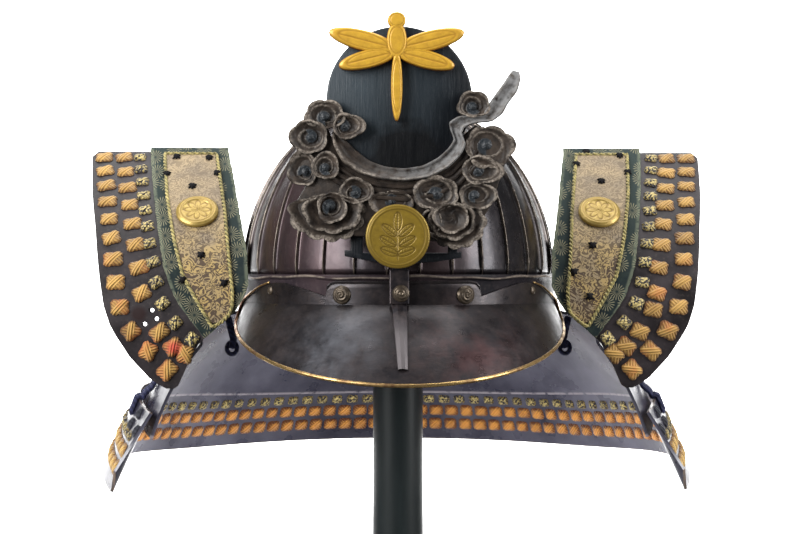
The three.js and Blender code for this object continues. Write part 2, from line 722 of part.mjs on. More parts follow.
// Wings: [height, distance from the middle] of the edges, the cloth border and the braid
const WING_INNER = [
  [156.7, 146],
  [158.5, 143.4],
  [173, 137],
  [185, 130.7],
  [195, 120],
  [206.5, 107.7],
  [214, 103.5],
  [223, 101],
  [245, 103.7],
  [269, 107.4],
  [295, 112.3],
  [316, 118],
];
const WING_OUTER = [
  [156.7, 151],
  [158.5, 154.5],
  [163, 161.5],
  [177, 174.5],
  [190, 183],
  [197, 187],
  [210, 191.5],
  [230, 195.5],
  [260, 201],
  [285, 207],
  [300, 210],
  [312, 212.5],
  [316, 209],
];
const BORDER_OUTER = [
  [189, 126.5],
  [197, 132.5],
  [209, 142],
  [217, 147],
  [234, 154],
  [269, 162],
  [300, 169],
  [316, 172.5],
];
const BRAID_INNER = [
  [197, 119.7],
  [203, 116],
  [209, 112.5],
  [218, 109.3],
  [245, 112.6],
  [269, 116],
  [290, 120.6],
  [312, 126],
];
const BRAID_OUTER = [
  [197, 121.7],
  [203, 125.5],
  [210, 130],
  [228, 141],
  [251, 148.3],
  [281, 156],
  [312, 162],
];
const KNOT_ROWS = {
  outer: [
    [167, 151.4],
    [177.6, 162.6],
    [190, 174.2],
    [205.5, 182.6],
    [222, 186.2],
    [252, 191.7],
    [290, 200.9],
    [311, 206.4],
  ],
  middle: [
    [178.7, 138.9],
    [183, 145.9],
    [192, 154.7],
    [204.6, 164],
    [216, 168],
    [231, 170.2],
    [260, 177.2],
    [297, 187.6],
    [311, 191.6],
  ],
  inner: [
    [188.5, 134.5],
    [194.5, 141.5],
    [203.3, 149],
    [213, 154.5],
    [224, 158],
    [253, 165],
    [291, 174],
    [311, 179],
  ],
};
const WING_ROWS = [156.7, 158.5, 163, 169, 178, 189, 197, 203, 210, 218, 230, 242, 254, 266, 278, 290, 302, 312, 316];
const rowsFrom = (lowest, highest) => WING_ROWS.filter((z) => z >= lowest && z <= highest);

function wingY(z) {
  const share = max(0, (z - WING_BEND_Z) / WING_BEND_HEIGHT);
  return WING_FRONT_Y + WING_DEPTH * share ** WING_BEND_POWER;
}
const onWing = (x, z) => new THREE.Vector3(x, wingY(z), z);

// The wing's normal at a height, towards the front
function wingNormal(z) {
  const slope = (wingY(z + 0.01) - wingY(z - 0.01)) / 0.02;
  return new THREE.Vector3(0, -1, slope).normalize();
}
const aboveWing = (x, z, lift) => onWing(x, z).addScaledVector(wingNormal(z), lift);

// A layer of the wing between two edge tables, from one lift above the plate to another
function layer(side, inner, outer, inset, rows, from, to) {
  const columns = spaced(0, 1, WING_COLUMNS);
  const place = (lift) => (share, z) => {
    const near = along(inner, z) + inset;
    const far = along(outer, z) - inset;
    return aboveWing(side * (near + (far - near) * share), z, lift);
  };
  const points = [];
  for (const surface of [place(from), place(to)])
    for (const z of rows) for (const share of columns) points.push(surface(share, z));
  return between(points, columns.length, rows.length);
}

// The closed body between two equal grids of points, one after the other in the list
function between(points, across, down) {
  const flat = (share, row) => points[row * across + share];
  const lift = points.length / 2;
  const columns = spaced(0, across - 1, across - 1);
  const rows = spaced(0, down - 1, down - 1);
  const front = (c, r) => flat(c, r);
  const back = (c, r) => points[lift + r * across + c];
  const around = [
    ...columns.map((c) => [c, 0]),
    ...rows.slice(1).map((r) => [across - 1, r]),
    ...columns.slice(0, -1).reverse().map((c) => [c, down - 1]),
    ...rows.slice(1, -1).reverse().map((r) => [0, r]),
  ];
  const all = [];
  const triangles = [];
  const quad = (a, b, c, d) => {
    const at = all.length;
    all.push(a, b, c, d);
    triangles.push(at, at + 1, at + 2, at, at + 2, at + 3);
  };
  for (let r = 0; r < down - 1; r += 1)
    for (let c = 0; c < across - 1; c += 1) {
      quad(front(c, r), front(c + 1, r), front(c + 1, r + 1), front(c, r + 1));
      quad(back(c, r), back(c, r + 1), back(c + 1, r + 1), back(c + 1, r));
    }
  around.forEach(([c, r], i) => {
    const [nextC, nextR] = around[(i + 1) % around.length];
    quad(front(c, r), back(c, r), back(nextC, nextR), front(nextC, nextR));
  });
  return body(all, triangles);
}

// A row of knots: pads on the plate at even spacing, joined by their thread
function knotRow(side, table) {
  const fine = spaced(table[0][0], table.at(-1)[0], 200).map((z) => onWing(side * along(table, z), z));
  const lengths = [0];
  for (let i = 1; i < fine.length; i += 1) lengths.push(lengths[i - 1] + fine[i].distanceTo(fine[i - 1]));
  const pitch = lengths.at(-1) / (KNOTS_PER_ROW - 1);
  const stations = [];
  for (let knot = 0; knot < KNOTS_PER_ROW; knot += 1) {
    for (const end of [-1, 1]) stations.push([knot * pitch + end * KNOT.half_length * 0.72, KNOT]);
    if (knot < KNOTS_PER_ROW - 1) stations.push([(knot + 0.5) * pitch, THREAD]);
  }
  const sections = stations.map(([length, size]) => {
    let i = 1;
    while (i < fine.length - 1 && lengths[i] < length) i += 1;
    const step = fine[i].clone().sub(fine[i - 1]).normalize();
    const at = fine[i - 1].clone().addScaledVector(step, length - lengths[i - 1]);
    const out = wingNormal(at.z);
    const across = step.clone().cross(out).normalize();
    return [
      [-1, GAP],
      [1, GAP],
      [0.8, GAP + size.height],
      [-0.8, GAP + size.height],
    ].map(([share, lift]) =>
      at
        .clone()
        .addScaledVector(across, share * size.half_width)
        .addScaledVector(out, lift),
    );
  });
  return loft(sections);
}

for (const [name, side] of sides) {
  let plate = solid(layer(side, WING_INNER, WING_OUTER, 0, WING_ROWS, -WING_WALL, 0));
  for (const hole of WING_HOLES.filter((hole) => hole.x * side > 0)) {
    const shape = new THREE.Shape();
    shape.absarc(hole.x, hole.z, WING_HOLE_RADIUS, 0, 2 * PI);
    plate = plate.subtract(solid(pushed(shape, WING_FRONT_Y + 8, 16, 3)));
  }
  add("wing_" + name, geometryOf(plate), "lacquer");

  const cloth = layer(side, WING_INNER, BORDER_OUTER, 0.4, rowsFrom(189, 316), GAP, GAP + LAYER);
  add("wing_border_" + name, cloth, "cloth");
  const skinFrom = 2 * GAP + LAYER;
  const skinInset = BRAID_RADIUS + GAP;
  const skin = layer(side, BRAID_INNER, BRAID_OUTER, skinInset, rowsFrom(203, 302), skinFrom, skinFrom + LAYER);
  add("wing_leather_" + name, skin, "leather");

  const braidLift = GAP + LAYER + GAP + BRAID_RADIUS;
  const climb = rowsFrom(197, BRAID_TOP_Z);
  const braidPoints = [
    ...climb.map((z) => aboveWing(side * along(BRAID_INNER, z), z, braidLift)),
    aboveWing(side * 144, BRAID_TOP_Z, braidLift),
    ...climb.reverse().map((z) => aboveWing(side * along(BRAID_OUTER, z), z, braidLift)),
  ];
  add("wing_braid_" + name, rod(braidPoints, wingNormal(254), BRAID_RADIUS, 6, true), "braid");

  const bossAt = aboveWing(side * BOSS.x, BOSS.z, skinFrom + LAYER + GAP);
  add("wing_boss_" + name, dome(BOSS.radius, BOSS.height, 24, bossAt, wingNormal(BOSS.z)), "brass");

  for (const [row, table] of Object.entries(KNOT_ROWS)) {
    const finish = row === "inner" ? "speckled" : "orange";
    add("wing_knots_" + name + "_" + row, knotRow(side, table), finish);
  }
}

// Stand: base, post and a head that follows the inside of the bowl's crown
const baseProfile = [
  [0, 0],
  [STAND_BASE.radius, 0],
  [STAND_BASE.radius, STAND_BASE.height - STAND_BASE.chamfer],
  [STAND_BASE.radius - STAND_BASE.chamfer, STAND_BASE.height],
  [0, STAND_BASE.height],
];
add("stand_base", turned(baseProfile, 36), "black");

const headInset = BOWL_WALL + HEAD_GAP;
const headRises = domeProfile(headInset, 0, crownTurn).filter(([radius]) => radius < HEAD_RADIUS);
const headFoot = headRises[0][1] - HEAD_DEPTH;
const headProfile = [
  [0, headFoot],
  [headRises[0][0], headFoot],
  ...headRises,
  [0, headRises.at(-1)[1]],
];
add("stand_head", turned(headProfile, PLATES, 1, PI / PLATES), "black");
const postProfile = [
  [0, STAND_BASE.height + GAP],
  [POST_RADIUS, STAND_BASE.height + GAP],
  [POST_RADIUS, headFoot - GAP],
  [0, headFoot - GAP],
];
add("stand_post", turned(postProfile, 24), "black");

export default group;
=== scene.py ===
import bpy
import numpy as np
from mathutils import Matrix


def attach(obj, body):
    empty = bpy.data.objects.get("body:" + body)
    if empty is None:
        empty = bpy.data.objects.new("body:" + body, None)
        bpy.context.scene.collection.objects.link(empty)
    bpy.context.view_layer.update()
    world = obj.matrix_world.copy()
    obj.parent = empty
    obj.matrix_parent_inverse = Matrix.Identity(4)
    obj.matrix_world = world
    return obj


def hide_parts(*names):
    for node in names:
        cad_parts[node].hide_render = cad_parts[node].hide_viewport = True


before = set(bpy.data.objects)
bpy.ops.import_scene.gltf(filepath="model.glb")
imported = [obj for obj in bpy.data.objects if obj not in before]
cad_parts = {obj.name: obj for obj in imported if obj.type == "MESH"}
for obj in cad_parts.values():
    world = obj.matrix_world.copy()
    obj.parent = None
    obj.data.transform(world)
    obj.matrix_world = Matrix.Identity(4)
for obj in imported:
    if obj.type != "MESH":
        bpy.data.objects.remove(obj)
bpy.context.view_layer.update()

# Camera
# It stands 1.1 m in front of the helmet, a little to the left, and looks level at the visor's rivets.
CAMERA_TURN = np.radians(-1.8)
CAMERA_DISTANCE = 1100
CAMERA_HEIGHT = 235
CAMERA_SIDESTEP = 1.4
FOCAL_PIXELS = 1608
PHOTO_WIDTH = 800
MM = 0.001
SIDES = ((-1, "left"), (1, "right"))


def camera():
    data = bpy.data.cameras.new("camera")
    data.sensor_width = 36
    data.lens = data.sensor_width * FOCAL_PIXELS / PHOTO_WIDTH
    seen = bpy.data.objects.new("camera", data)
    along = np.array([np.cos(CAMERA_TURN), np.sin(CAMERA_TURN)])
    back = np.array([np.sin(CAMERA_TURN), -np.cos(CAMERA_TURN)])
    x, y = back * CAMERA_DISTANCE + along * CAMERA_SIDESTEP
    seen.location = (x * MM, y * MM, CAMERA_HEIGHT * MM)
    seen.rotation_euler = (np.pi / 2, 0, CAMERA_TURN)
    bpy.context.scene.collection.objects.link(seen)
    bpy.context.scene.camera = seen


camera()

# Light and floor
# Two tall soft boxes stand at the front corners, one hangs overhead and one lights the wall, in a white room.
# Two small low ones shine up into the neck guard.
# The floor is one sheet, grey under the stand and white further back, where it curves up into a wall.
SOFT_BOXES = [
    {"name": "left_box", "at": (-900, -750, 700), "size": (700, 900), "power": 26},
    {"name": "right_box", "at": (1000, -500, 620), "size": (420, 1000), "power": 16},
    {"name": "top_box", "at": (0, 100, 1150), "size": (900, 900), "power": 10},
    {"name": "wall_box", "at": (0, 650, 900), "size": (1600, 500), "power": 150, "target": (0, 1900, 500)},
    {"name": "low_left", "at": (-105, 10, 40), "size": (150, 60), "power": 0.22, "target": (-110, 200, 150)},
    {"name": "low_right", "at": (105, 10, 40), "size": (150, 60), "power": 0.22, "target": (110, 200, 150)},
]
ROOM_LIGHT = 0.12
FLOOR_WHITE = (0.86, 0.86, 0.86, 1)
FLOOR_GREY = (0.1, 0.1, 0.1, 1)
FLOOR_FADE = (150, 300)
FLOOR_HALF_WIDTH = 3500
FLOOR_FRONT_Y = -2600
FLOOR_CURVE_Y, FLOOR_CURVE_RADIUS = 1500, 700
WALL_TOP_Z = 2600
TARGET = (0, 0, 240)


def soft_box(name, at, size, power, target=TARGET):
    light = bpy.data.lights.new(name, "AREA")
    light.shape = "RECTANGLE"
    light.size, light.size_y = size[0] * MM, size[1] * MM
    light.energy = power
    lamp = bpy.data.objects.new(name, light)
    lamp.location = np.array(at) * MM
    lamp.visible_camera = False
    aim = (np.array(target) - np.array(at)).astype(float)
    flat = np.hypot(aim[0], aim[1])
    lamp.rotation_euler = (np.arctan2(flat, -aim[2]), 0, np.arctan2(-aim[0], aim[1]))
    bpy.context.scene.collection.objects.link(lamp)


def new_mesh(name, points, faces, smooth=True):
    """A mesh object from points in millimetres and faces as tuples of point numbers."""
    mesh = bpy.data.meshes.new(name)
    mesh.from_pydata(np.asarray(points, float) * MM, [], faces)
    mesh.polygons.foreach_set("use_smooth", np.full(len(mesh.polygons), smooth))
    piece = bpy.data.objects.new(name, mesh)
    bpy.context.scene.collection.objects.link(piece)
    return piece


def unit(vectors):
    return vectors / np.linalg.norm(vectors, axis=-1, keepdims=True)


def circle_turns(count):
    """Angles of evenly spaced steps once round a circle."""
    return np.arange(count) * 2 * np.pi / count


def run_along(path):
    """How far along a path each of its points lies."""
    return np.concatenate([[0], np.cumsum(np.linalg.norm(np.diff(path, axis=0), axis=1))])


def resample(line, count):
    """A line through the same points with another number of steps, even from point to point."""
    fine = np.linspace(0, len(line) - 1, count)
    return np.stack([np.interp(fine, np.arange(len(line)), values) for values in line.T], 1)


def grid_faces(rows, columns, ring=False, first=0):
    """Quads between neighbouring points of a grid, row by row. In a ring the last column joins the first."""
    r, c = np.meshgrid(np.arange(rows - 1), np.arange(columns if ring else columns - 1), indexing="ij")
    here = first + r * columns + c
    beside = first + r * columns + (c + 1) % columns
    return np.stack([here, beside, beside + columns, here + columns], -1).reshape(-1, 4)


def plain_material(name, colour, roughness):
    material = bpy.data.materials.new(name)
    material.use_nodes = True
    shader = material.node_tree.nodes["Principled BSDF"]
    shader.inputs["Base Color"].default_value = colour
    shader.inputs["Roughness"].default_value = roughness
    return material


def floor():
    turn = np.linspace(0, np.pi / 2, 16)
    curve_y = FLOOR_CURVE_Y + FLOOR_CURVE_RADIUS * np.sin(turn)
    y = np.concatenate([[FLOOR_FRONT_Y], curve_y, [FLOOR_CURVE_Y + FLOOR_CURVE_RADIUS]])
    z = np.concatenate([[0], FLOOR_CURVE_RADIUS * (1 - np.cos(turn)), [WALL_TOP_Z]])
    sides = (-FLOOR_HALF_WIDTH, FLOOR_HALF_WIDTH)
    points = [(side, depth, height) for depth, height in zip(y, z) for side in sides]
    sheet = new_mesh("floor", points, grid_faces(len(y), 2).tolist())
    paper = plain_material("floor_paper", FLOOR_WHITE, 0.9)
    tree = paper.node_tree
    split = tree.nodes.new("ShaderNodeSeparateXYZ")
    place = tree.nodes.new("ShaderNodeTexCoord")
    fade = tree.nodes.new("ShaderNodeMapRange")
    blend = tree.nodes.new("ShaderNodeMix")
    blend.data_type = "RGBA"
    fade.inputs[1].default_value, fade.inputs[2].default_value = (edge * MM for edge in FLOOR_FADE)
    blend.inputs[6].default_value, blend.inputs[7].default_value = FLOOR_GREY, FLOOR_WHITE
    tree.links.new(place.outputs["Object"], split.inputs[0])
    tree.links.new(split.outputs["Y"], fade.inputs[0])
    tree.links.new(fade.outputs[0], blend.inputs[0])
    tree.links.new(blend.outputs[2], tree.nodes["Principled BSDF"].inputs["Base Color"])
    sheet.data.materials.append(paper)


for box in SOFT_BOXES:
    soft_box(**box)
world = bpy.data.worlds.new("room")
world.use_nodes = True
world.node_tree.nodes["Background"].inputs["Color"].default_value = (1, 1, 1, 1)
world.node_tree.nodes["Background"].inputs["Strength"].default_value = ROOM_LIGHT
bpy.context.scene.world = world
floor()
bpy.context.scene.view_settings.view_transform = "Standard"

# Bowl
# Thirty-two narrow steel plates stand on a band, each with one edge turned up into a thin ridge.
# The russet lacquer is rubbed through to bare metal along the ridges, painted pale there partly as wear and
# partly as a painted highlight, and each plate has aged its own way.
PLATES = 32
BOWL_HALF_WIDTH = 104.5
LENGTH_RATIO = 1.168
BOWL_HEIGHT = 118
BOWL_WALL = 2.2
FACE_INSET = 0.9
BOWL_FOOT_Z = 230.1
CROWN_OPENING = 12
RIDGE_HEIGHT = 2.1
PLATE_PROFILE = np.array(
    [[0, 0], [0.008, 0.9], [0.016, 1], [0.038, 1], [0.047, 0.8], [0.056, 0.05], [0.12, 0], [0.25, 0.07]]
    + [[0.4, 0.12], [0.55, 0.14], [0.7, 0.13], [0.85, 0.12], [0.95, 0.11]]
)
BOWL_ROWS = 44
PLATE_START = -0.54
DENT_DEPTH = 0.25
# A spot is its middle and how far it reaches, in millimetres.
# The lit russet spot is painted light: plates near it are lighter and redder, and those away from it are
# painted near black as shade.
LIT_RUSSET_SPOT = ((-62, -105, 255), 130)
GLOSSY_SPOT = ((95, -70, 280), 110)
random = np.random.default_rng(7)


def add_attribute(piece, name, values):
    """A value for each point, for a material to read."""
    piece.data.attributes.new(name, "FLOAT", "POINT")
    piece.data.attributes[name].data.foreach_set("value", np.asarray(values, np.float32).ravel())


def place_piece(piece, material, slot, *replaced):
    """Gives a piece its finish and lets it stand for CAD nodes. The slot is not used."""
    piece.data.materials.append(material)
    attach(piece, "root")
    if replaced:
        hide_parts(*replaced)
    return piece


def node(tree, kind, links=None, **settings):
    """A shader node: settings are its options, and links are values or sockets for its inputs."""
    made = tree.nodes.new("ShaderNode" + kind)
    for option, value in settings.items():
        setattr(made, option, value)
    for key, value in (links or {}).items():
        if isinstance(value, bpy.types.NodeSocket):
            tree.links.new(value, made.inputs[key])
        else:
            made.inputs[key].default_value = value
    return made


def place_socket(tree):
    return node(tree, "TexCoord").outputs["Object"]


def noise(tree, size_mm, detail=4, rough=0.55, stretch=(1, 1, 1), twist=0):
    """Noise whose grains are about size_mm, stretched along the axes."""
    mapped = node(tree, "Mapping", {"Vector": place_socket(tree), "Scale": stretch})
    settings = {"Vector": mapped.outputs[0], "Scale": 1 / (size_mm * MM), "Detail": detail}
    made = node(tree, "TexNoise", {**settings, "Roughness": rough, "Distortion": twist})
    return made.outputs["Fac"]


def attribute(tree, name):
    return node(tree, "Attribute", attribute_name=name).outputs["Fac"]


def ramp(tree, value, low, high):
    """A value spread from 0 at low to 1 at high."""
    return node(tree, "MapRange", {0: value, 1: low, 2: high}, clamp=True).outputs[0]


def spread(tree, value, first, last, low=0.0, high=1.0):
    """A value between low and high, taken to between first and last."""
    return node(tree, "MapRange", {0: value, 1: low, 2: high, 3: first, 4: last}).outputs[0]


def math(tree, operation, first, second=0.0):
    return node(tree, "Math", {0: first, 1: second}, operation=operation).outputs[0]


def plus(tree, first, second):
    return math(tree, "ADD", first, second)


def minus(tree, first, second):
    return math(tree, "SUBTRACT", first, second)


def times(tree, first, second):
    return math(tree, "MULTIPLY", first, second)


def mix(tree, share, first, second, mode="MIX"):
    """The first colour passing to the second as the share goes from 0 to 1."""
    made = node(tree, "Mix", {0: share}, data_type="RGBA", blend_type=mode)
    for index, value in ((6, first), (7, second)):
        if isinstance(value, bpy.types.NodeSocket):
            tree.links.new(value, made.inputs[index])
        else:
            made.inputs[index].default_value = (*value, 1)
    return made.outputs[2]


def bump(tree, height, depth_mm, strength=1.0, normal=None):
    links = {"Height": height, "Distance": depth_mm * MM, "Strength": strength}
    if normal is not None:
        links["Normal"] = normal
    return node(tree, "Bump", links).outputs[0]


def finish(name, **fixed):
    """A new material with its fixed shader values: the material, its tree and a function to wire the rest."""
    material = bpy.data.materials.new(name)
    material.use_nodes = True
    tree = material.node_tree
    shader = tree.nodes["Principled BSDF"]
    for key, value in fixed.items():
        shader.inputs[key.replace("_", " ")].default_value = value

    def wire(**links):
        for key, socket in links.items():
            tree.links.new(socket, shader.inputs[key.replace("_", " ")])

    return material, tree, wire


def near(tree, point, radius):
    """1 at a point of the helmet and falling to 0 at the radius, in millimetres."""
    links = {0: place_socket(tree), 1: tuple(np.array(point) * MM)}
    away = node(tree, "VectorMath", links, operation="DISTANCE")
    return ramp(tree, away.outputs["Value"], radius * MM, 0)


def bowl_material(name, metallic, coat, specular):
    material, tree, wire = finish(
        name, Metallic=metallic, Coat_Weight=coat, Coat_Roughness=0.2, Specular_IOR_Level=specular
    )
    tint = ramp(tree, attribute(tree, "plate"), 0, 1)
    cloud = ramp(tree, noise(tree, 38, 5, 0.6, (1, 1, 0.45)), 0.36, 0.66)
    speck = ramp(tree, noise(tree, 3.2, 6, 0.7), 0.52, 0.7)
    # Painted light: lighter, redder russet towards the left front, where the key light falls; painted
    # near-black shade elsewhere.
    russet = near(tree, *LIT_RUSSET_SPOT)
    dark = mix(tree, tint, (0.018, 0.015, 0.02), (0.034, 0.022, 0.026))
    dark = mix(tree, russet, (0.011, 0.0105, 0.013), dark)
    warm = mix(tree, tint, (0.05, 0.038, 0.043), (0.09, 0.047, 0.047))
    warm = mix(tree, russet, (0.026, 0.022, 0.025), warm)
    skin = mix(tree, cloud, dark, warm)
    skin = mix(tree, times(tree, speck, 0.2), skin, (0.12, 0.095, 0.09))
    # Pale along the ridges in patches: partly bare-metal wear, partly painted highlight.
    pale_edge = times(tree, attribute(tree, "ridge"), ramp(tree, noise(tree, 9, 5, 0.7), 0.3, 0.6))
    colour = mix(tree, pale_edge, skin, (0.2, 0.165, 0.135))
    shine = ramp(tree, noise(tree, 14, 5, 0.6), 0.3, 0.75)
    rough = spread(tree, shine, 0.3, 0.48)
    relief = plus(tree, noise(tree, 16, 3), times(tree, noise(tree, 1.5, 3), 0.12))
    rough = minus(tree, rough, times(tree, near(tree, *GLOSSY_SPOT), 0.2))
    wire(Base_Color=colour, Roughness=rough, Normal=bump(tree, relief, 0.5, 0.5))
    return material


def dome_points(turn, rise, inset, lift=0.0):
    """Points of the bowl at a turn from the front and a rise from its foot, moved out along the dome."""
    width = BOWL_HALF_WIDTH - inset + lift
    height = BOWL_HEIGHT - inset + lift
    x = width * np.cos(rise) * np.sin(turn)
    y = -width * LENGTH_RATIO * np.cos(rise) * np.cos(turn)
    z = BOWL_FOOT_Z + height * np.sin(rise)
    return np.stack([x, y, z], -1)


def shell_faces(rows, columns):
    """Faces of a closed ring wall: an outer grid, an inner one and the strips that join their two edges."""
    count = rows * columns
    outer = grid_faces(rows, columns, ring=True)
    inner = grid_faces(rows, columns, ring=True, first=count)[:, ::-1]
    c = np.arange(columns)
    d = (c + 1) % columns
    foot = np.stack([c, c + count, d + count, d], -1)
    top = (rows - 1) * columns
    crown = np.stack([c + top, d + top, d + top + count, c + top + count], -1)
    return np.concatenate([outer, inner, foot, crown]).tolist()


def bowl():
    share = np.tile(PLATE_PROFILE[:, 0], PLATES)
    plate = np.repeat(np.arange(PLATES), len(PLATE_PROFILE))
    turn = (plate + share + PLATE_START) * 2 * np.pi / PLATES
    lift = np.tile(PLATE_PROFILE[:, 1], PLATES) * RIDGE_HEIGHT
    steepest = np.arccos(CROWN_OPENING / BOWL_HALF_WIDTH)
    rise = np.linspace(0, steepest, BOWL_ROWS)
    turns, rises = np.meshgrid(turn, rise)
    # The ridges are lower near the crown and where they end at the foot
    fade = np.clip(np.cos(rises) * 2.2, 0.25, 1) * np.clip(0.35 + rises * 12, 0, 1)
    dents = DENT_DEPTH * np.sin(turns * 5 + 1.3) * np.sin(rises * 7)
    outer = dome_points(turns, rises, FACE_INSET, lift * fade + dents)
    inner = dome_points(turns, rises, BOWL_WALL)
    points = np.concatenate([outer.reshape(-1, 3), inner.reshape(-1, 3)])
    piece = new_mesh("bowl_plates", points, shell_faces(*turns.shape))
    ridge = np.tile((PLATE_PROFILE[:, 1] > 0.5).astype(float), PLATES)
    tint = random.random(PLATES)[plate]
    for name, values in (("ridge", ridge), ("plate", tint)):
        both_faces = np.concatenate([np.tile(values, BOWL_ROWS), np.tile(values * 0, BOWL_ROWS)])
        add_attribute(piece, name, both_faces)
    return place_piece(piece, bowl_material("russet_plates", 0.72, 0.2, 0.5), "russet_steel", "bowl")


bowl()

# Base band and crown ring
# A plain russet band carries the bowl, its upper lip rolled out and painted pale, partly as wear and partly
# as a painted highlight.
# A small gilt ring with a lobed edge lines the opening in the crown.
BAND_RADIUS = 106
BAND_PROFILE = [
    [0, 206], [0, 224.5], [0.3, 227], [1.2, 227.9], [1.7, 228.5], [1.7, 229.1], [1, 229.6], [-0.4, 229.8],
    [-0.6, 230.3], [-2.2, 230.3], [-2.2, 206],
]
LIP_WAVE = 0.7
LIP_FOOT_Z = 224
BAND_SIDES = 256
CROWN_RING = [[12, 348.1], [12, 351.9], [13.2, 352.5], [16.4, 351.7], [18, 349.2], [17.5, 347.7], [12, 347.6]]


def turned(name, outline, sides, stretch=1.0, radius_change=None, height_change=None):
    """A closed ring turned from an outline of (radius, z) points, its y side stretched."""
    outline = np.asarray(outline, float)
    turn = circle_turns(sides)
    radius = outline[:, 0, None] + (0 if radius_change is None else radius_change(turn, outline[:, 0, None]))
    height = outline[:, 1, None] + (0 if height_change is None else height_change(turn, outline[:, 1, None]))
    radius = np.broadcast_to(radius, (len(outline), sides))
    height = np.broadcast_to(height, (len(outline), sides))
    points = np.stack([radius * np.sin(turn), -radius * np.cos(turn) * stretch, height], -1)
    points = np.concatenate([points, points[:1]])
    faces = grid_faces(len(outline) + 1, sides, ring=True)
    return new_mesh(name, points[:-1].reshape(-1, 3), (faces % (len(outline) * sides)).tolist())


def sharpen(piece, degrees=38):
    piece.data.set_sharp_from_angle(angle=np.radians(degrees))
    return piece


def band():
    def wave(turn, z):
        ripple = np.sin(turn * 8 + 0.7) + 0.6 * np.sin(turn * 19)
        return LIP_WAVE * ripple * np.clip((z - LIP_FOOT_Z) / 5, 0, 1) - 0.1

    def keep_low(turn, z):
        return np.where(z > BOWL_FOOT_Z, 0, np.minimum(wave(turn, z), 1.2))

    outline = np.array(BAND_PROFILE, float)
    outline[:, 0] += BAND_RADIUS
    piece = turned("band", outline, BAND_SIDES, LENGTH_RATIO, height_change=keep_low)
    # The rolled lip is marked for pale paint: partly wear, partly painted highlight.
    pale_edge = np.repeat(np.isin(outline[:, 1], [228.5, 229.1]).astype(float), BAND_SIDES)
    add_attribute(piece, "ridge", pale_edge)
    add_attribute(piece, "plate", np.full(len(pale_edge), 0.3))
    material = bowl_material("russet_band", 0.0, 0.0, 0.04)
    return place_piece(sharpen(piece), material, "russet_steel", "base_band")


def crown():
    def lobes(turn, radius):
        return -1.1 * np.abs(np.sin(turn * 6)) * (radius > 15)

    material = plain_material("crown_gilt", (0.5, 0.3, 0.09, 1), 0.32)
    material.node_tree.nodes["Principled BSDF"].inputs["Metallic"].default_value = 0.9
    piece = turned("crown_lining", CROWN_RING, 96, 1.0, lobes)
    return place_piece(piece, material, "gilt_wire", "crown_ring")


band()
crown()

# Visor
# The drooping peak is one steel plate, riveted to the band by a flange whose top edge is cut in curves.
# Its outer edge is bound with brass, and old lacquer and rust have left it mottled; a lighter blue-grey patch
# left of the middle is a painted sheen.
FLANGE_RADIUS = 108.3
VISOR_END = 76
VISOR_WALL = 1.6
VISOR_TOP = np.array([
    [0, 226.5], [22.4, 226.5], [24.4, 225.7], [25.6, 223.8], [26.2, 217], [35, 221.6], [43, 225],
    [47, 225.3], [51, 224.5], [56, 222.2], [60.5, 219], [70, 213], [76, 206.5],
])
VISOR_BEND_Z = 212
VISOR_REACH = (107, 132)
VISOR_EAR_Y, VISOR_EAR_Z = -35, 201
VISOR_DROOP = 34
VISOR_BELLY = 3
VISOR_RIM_RADIUS = 1.25
EAR_BINDING_END = 50
VISOR_SHEEN_SPOT = ((-45, -150, 197), 42)
RUST_SPOT = ((45, -150, 185), 52)
COPPER_SPOT = ((-112, -30, 205), 62)
DRIP_X, DRIP_Z = 36.5, 206


def on_flange(turn, z):
    radians = np.radians(turn)
    x = FLANGE_RADIUS * np.sin(radians)
    y = -FLANGE_RADIUS * LENGTH_RATIO * np.cos(radians)
    return np.stack(np.broadcast_arrays(x, y, z), -1)


def on_visor(turn, row):
    """Outer face of the peak, from the bend at row 0 to the edge at row 1, with a belly between them."""
    bend = np.minimum(VISOR_BEND_Z, np.interp(np.abs(turn), *VISOR_TOP.T) - 2)
    sweep = np.radians(turn * 90 / VISOR_END)
    across, forward = VISOR_REACH[0] * np.sin(sweep), VISOR_REACH[1] * np.cos(sweep)
    edge = np.stack([across, VISOR_EAR_Y - forward, VISOR_EAR_Z - VISOR_DROOP * np.cos(sweep)], -1)
    row = np.asarray(row, float)[..., None]
    point = on_flange(turn, bend) * (1 - row) + edge * row
    point[..., 2] += (VISOR_BELLY * np.cos(sweep)[..., None] * np.sin(np.pi * row))[..., 0]
    return point


def grid_normals(grid):
    """Unit normals of a grid of points, from the run of its rows and columns."""
    down, along = np.gradient(grid, axis=(0, 1))
    normal = np.cross(down, along)
    return normal / np.maximum(np.linalg.norm(normal, axis=-1, keepdims=True), 1e-9)


def plate(name, grid, wall, smooth_below=38):
    """A sheet as thick as the wall, whose face is the grid and whose back lies against the normals."""
    rows, columns = grid.shape[:2]
    back = grid - grid_normals(grid) * wall
    count = rows * columns
    first, last = np.arange(columns), (rows - 1) * columns + np.arange(columns - 1)[::-1]
    right, left = np.arange(1, rows) * columns + columns - 1, np.arange(1, rows - 1)[::-1] * columns
    ring = np.concatenate([first, right, last, left])
    following = np.roll(ring, -1)
    sides = np.stack([ring, ring + count, following + count, following], -1)
    front = grid_faces(rows, columns)[:, ::-1]
    faces = np.concatenate([front, grid_faces(rows, columns, first=count), sides])
    points = np.concatenate([grid.reshape(-1, 3), back.reshape(-1, 3)])
    piece = new_mesh(name, points, faces.tolist())
    return sharpen(piece, smooth_below)


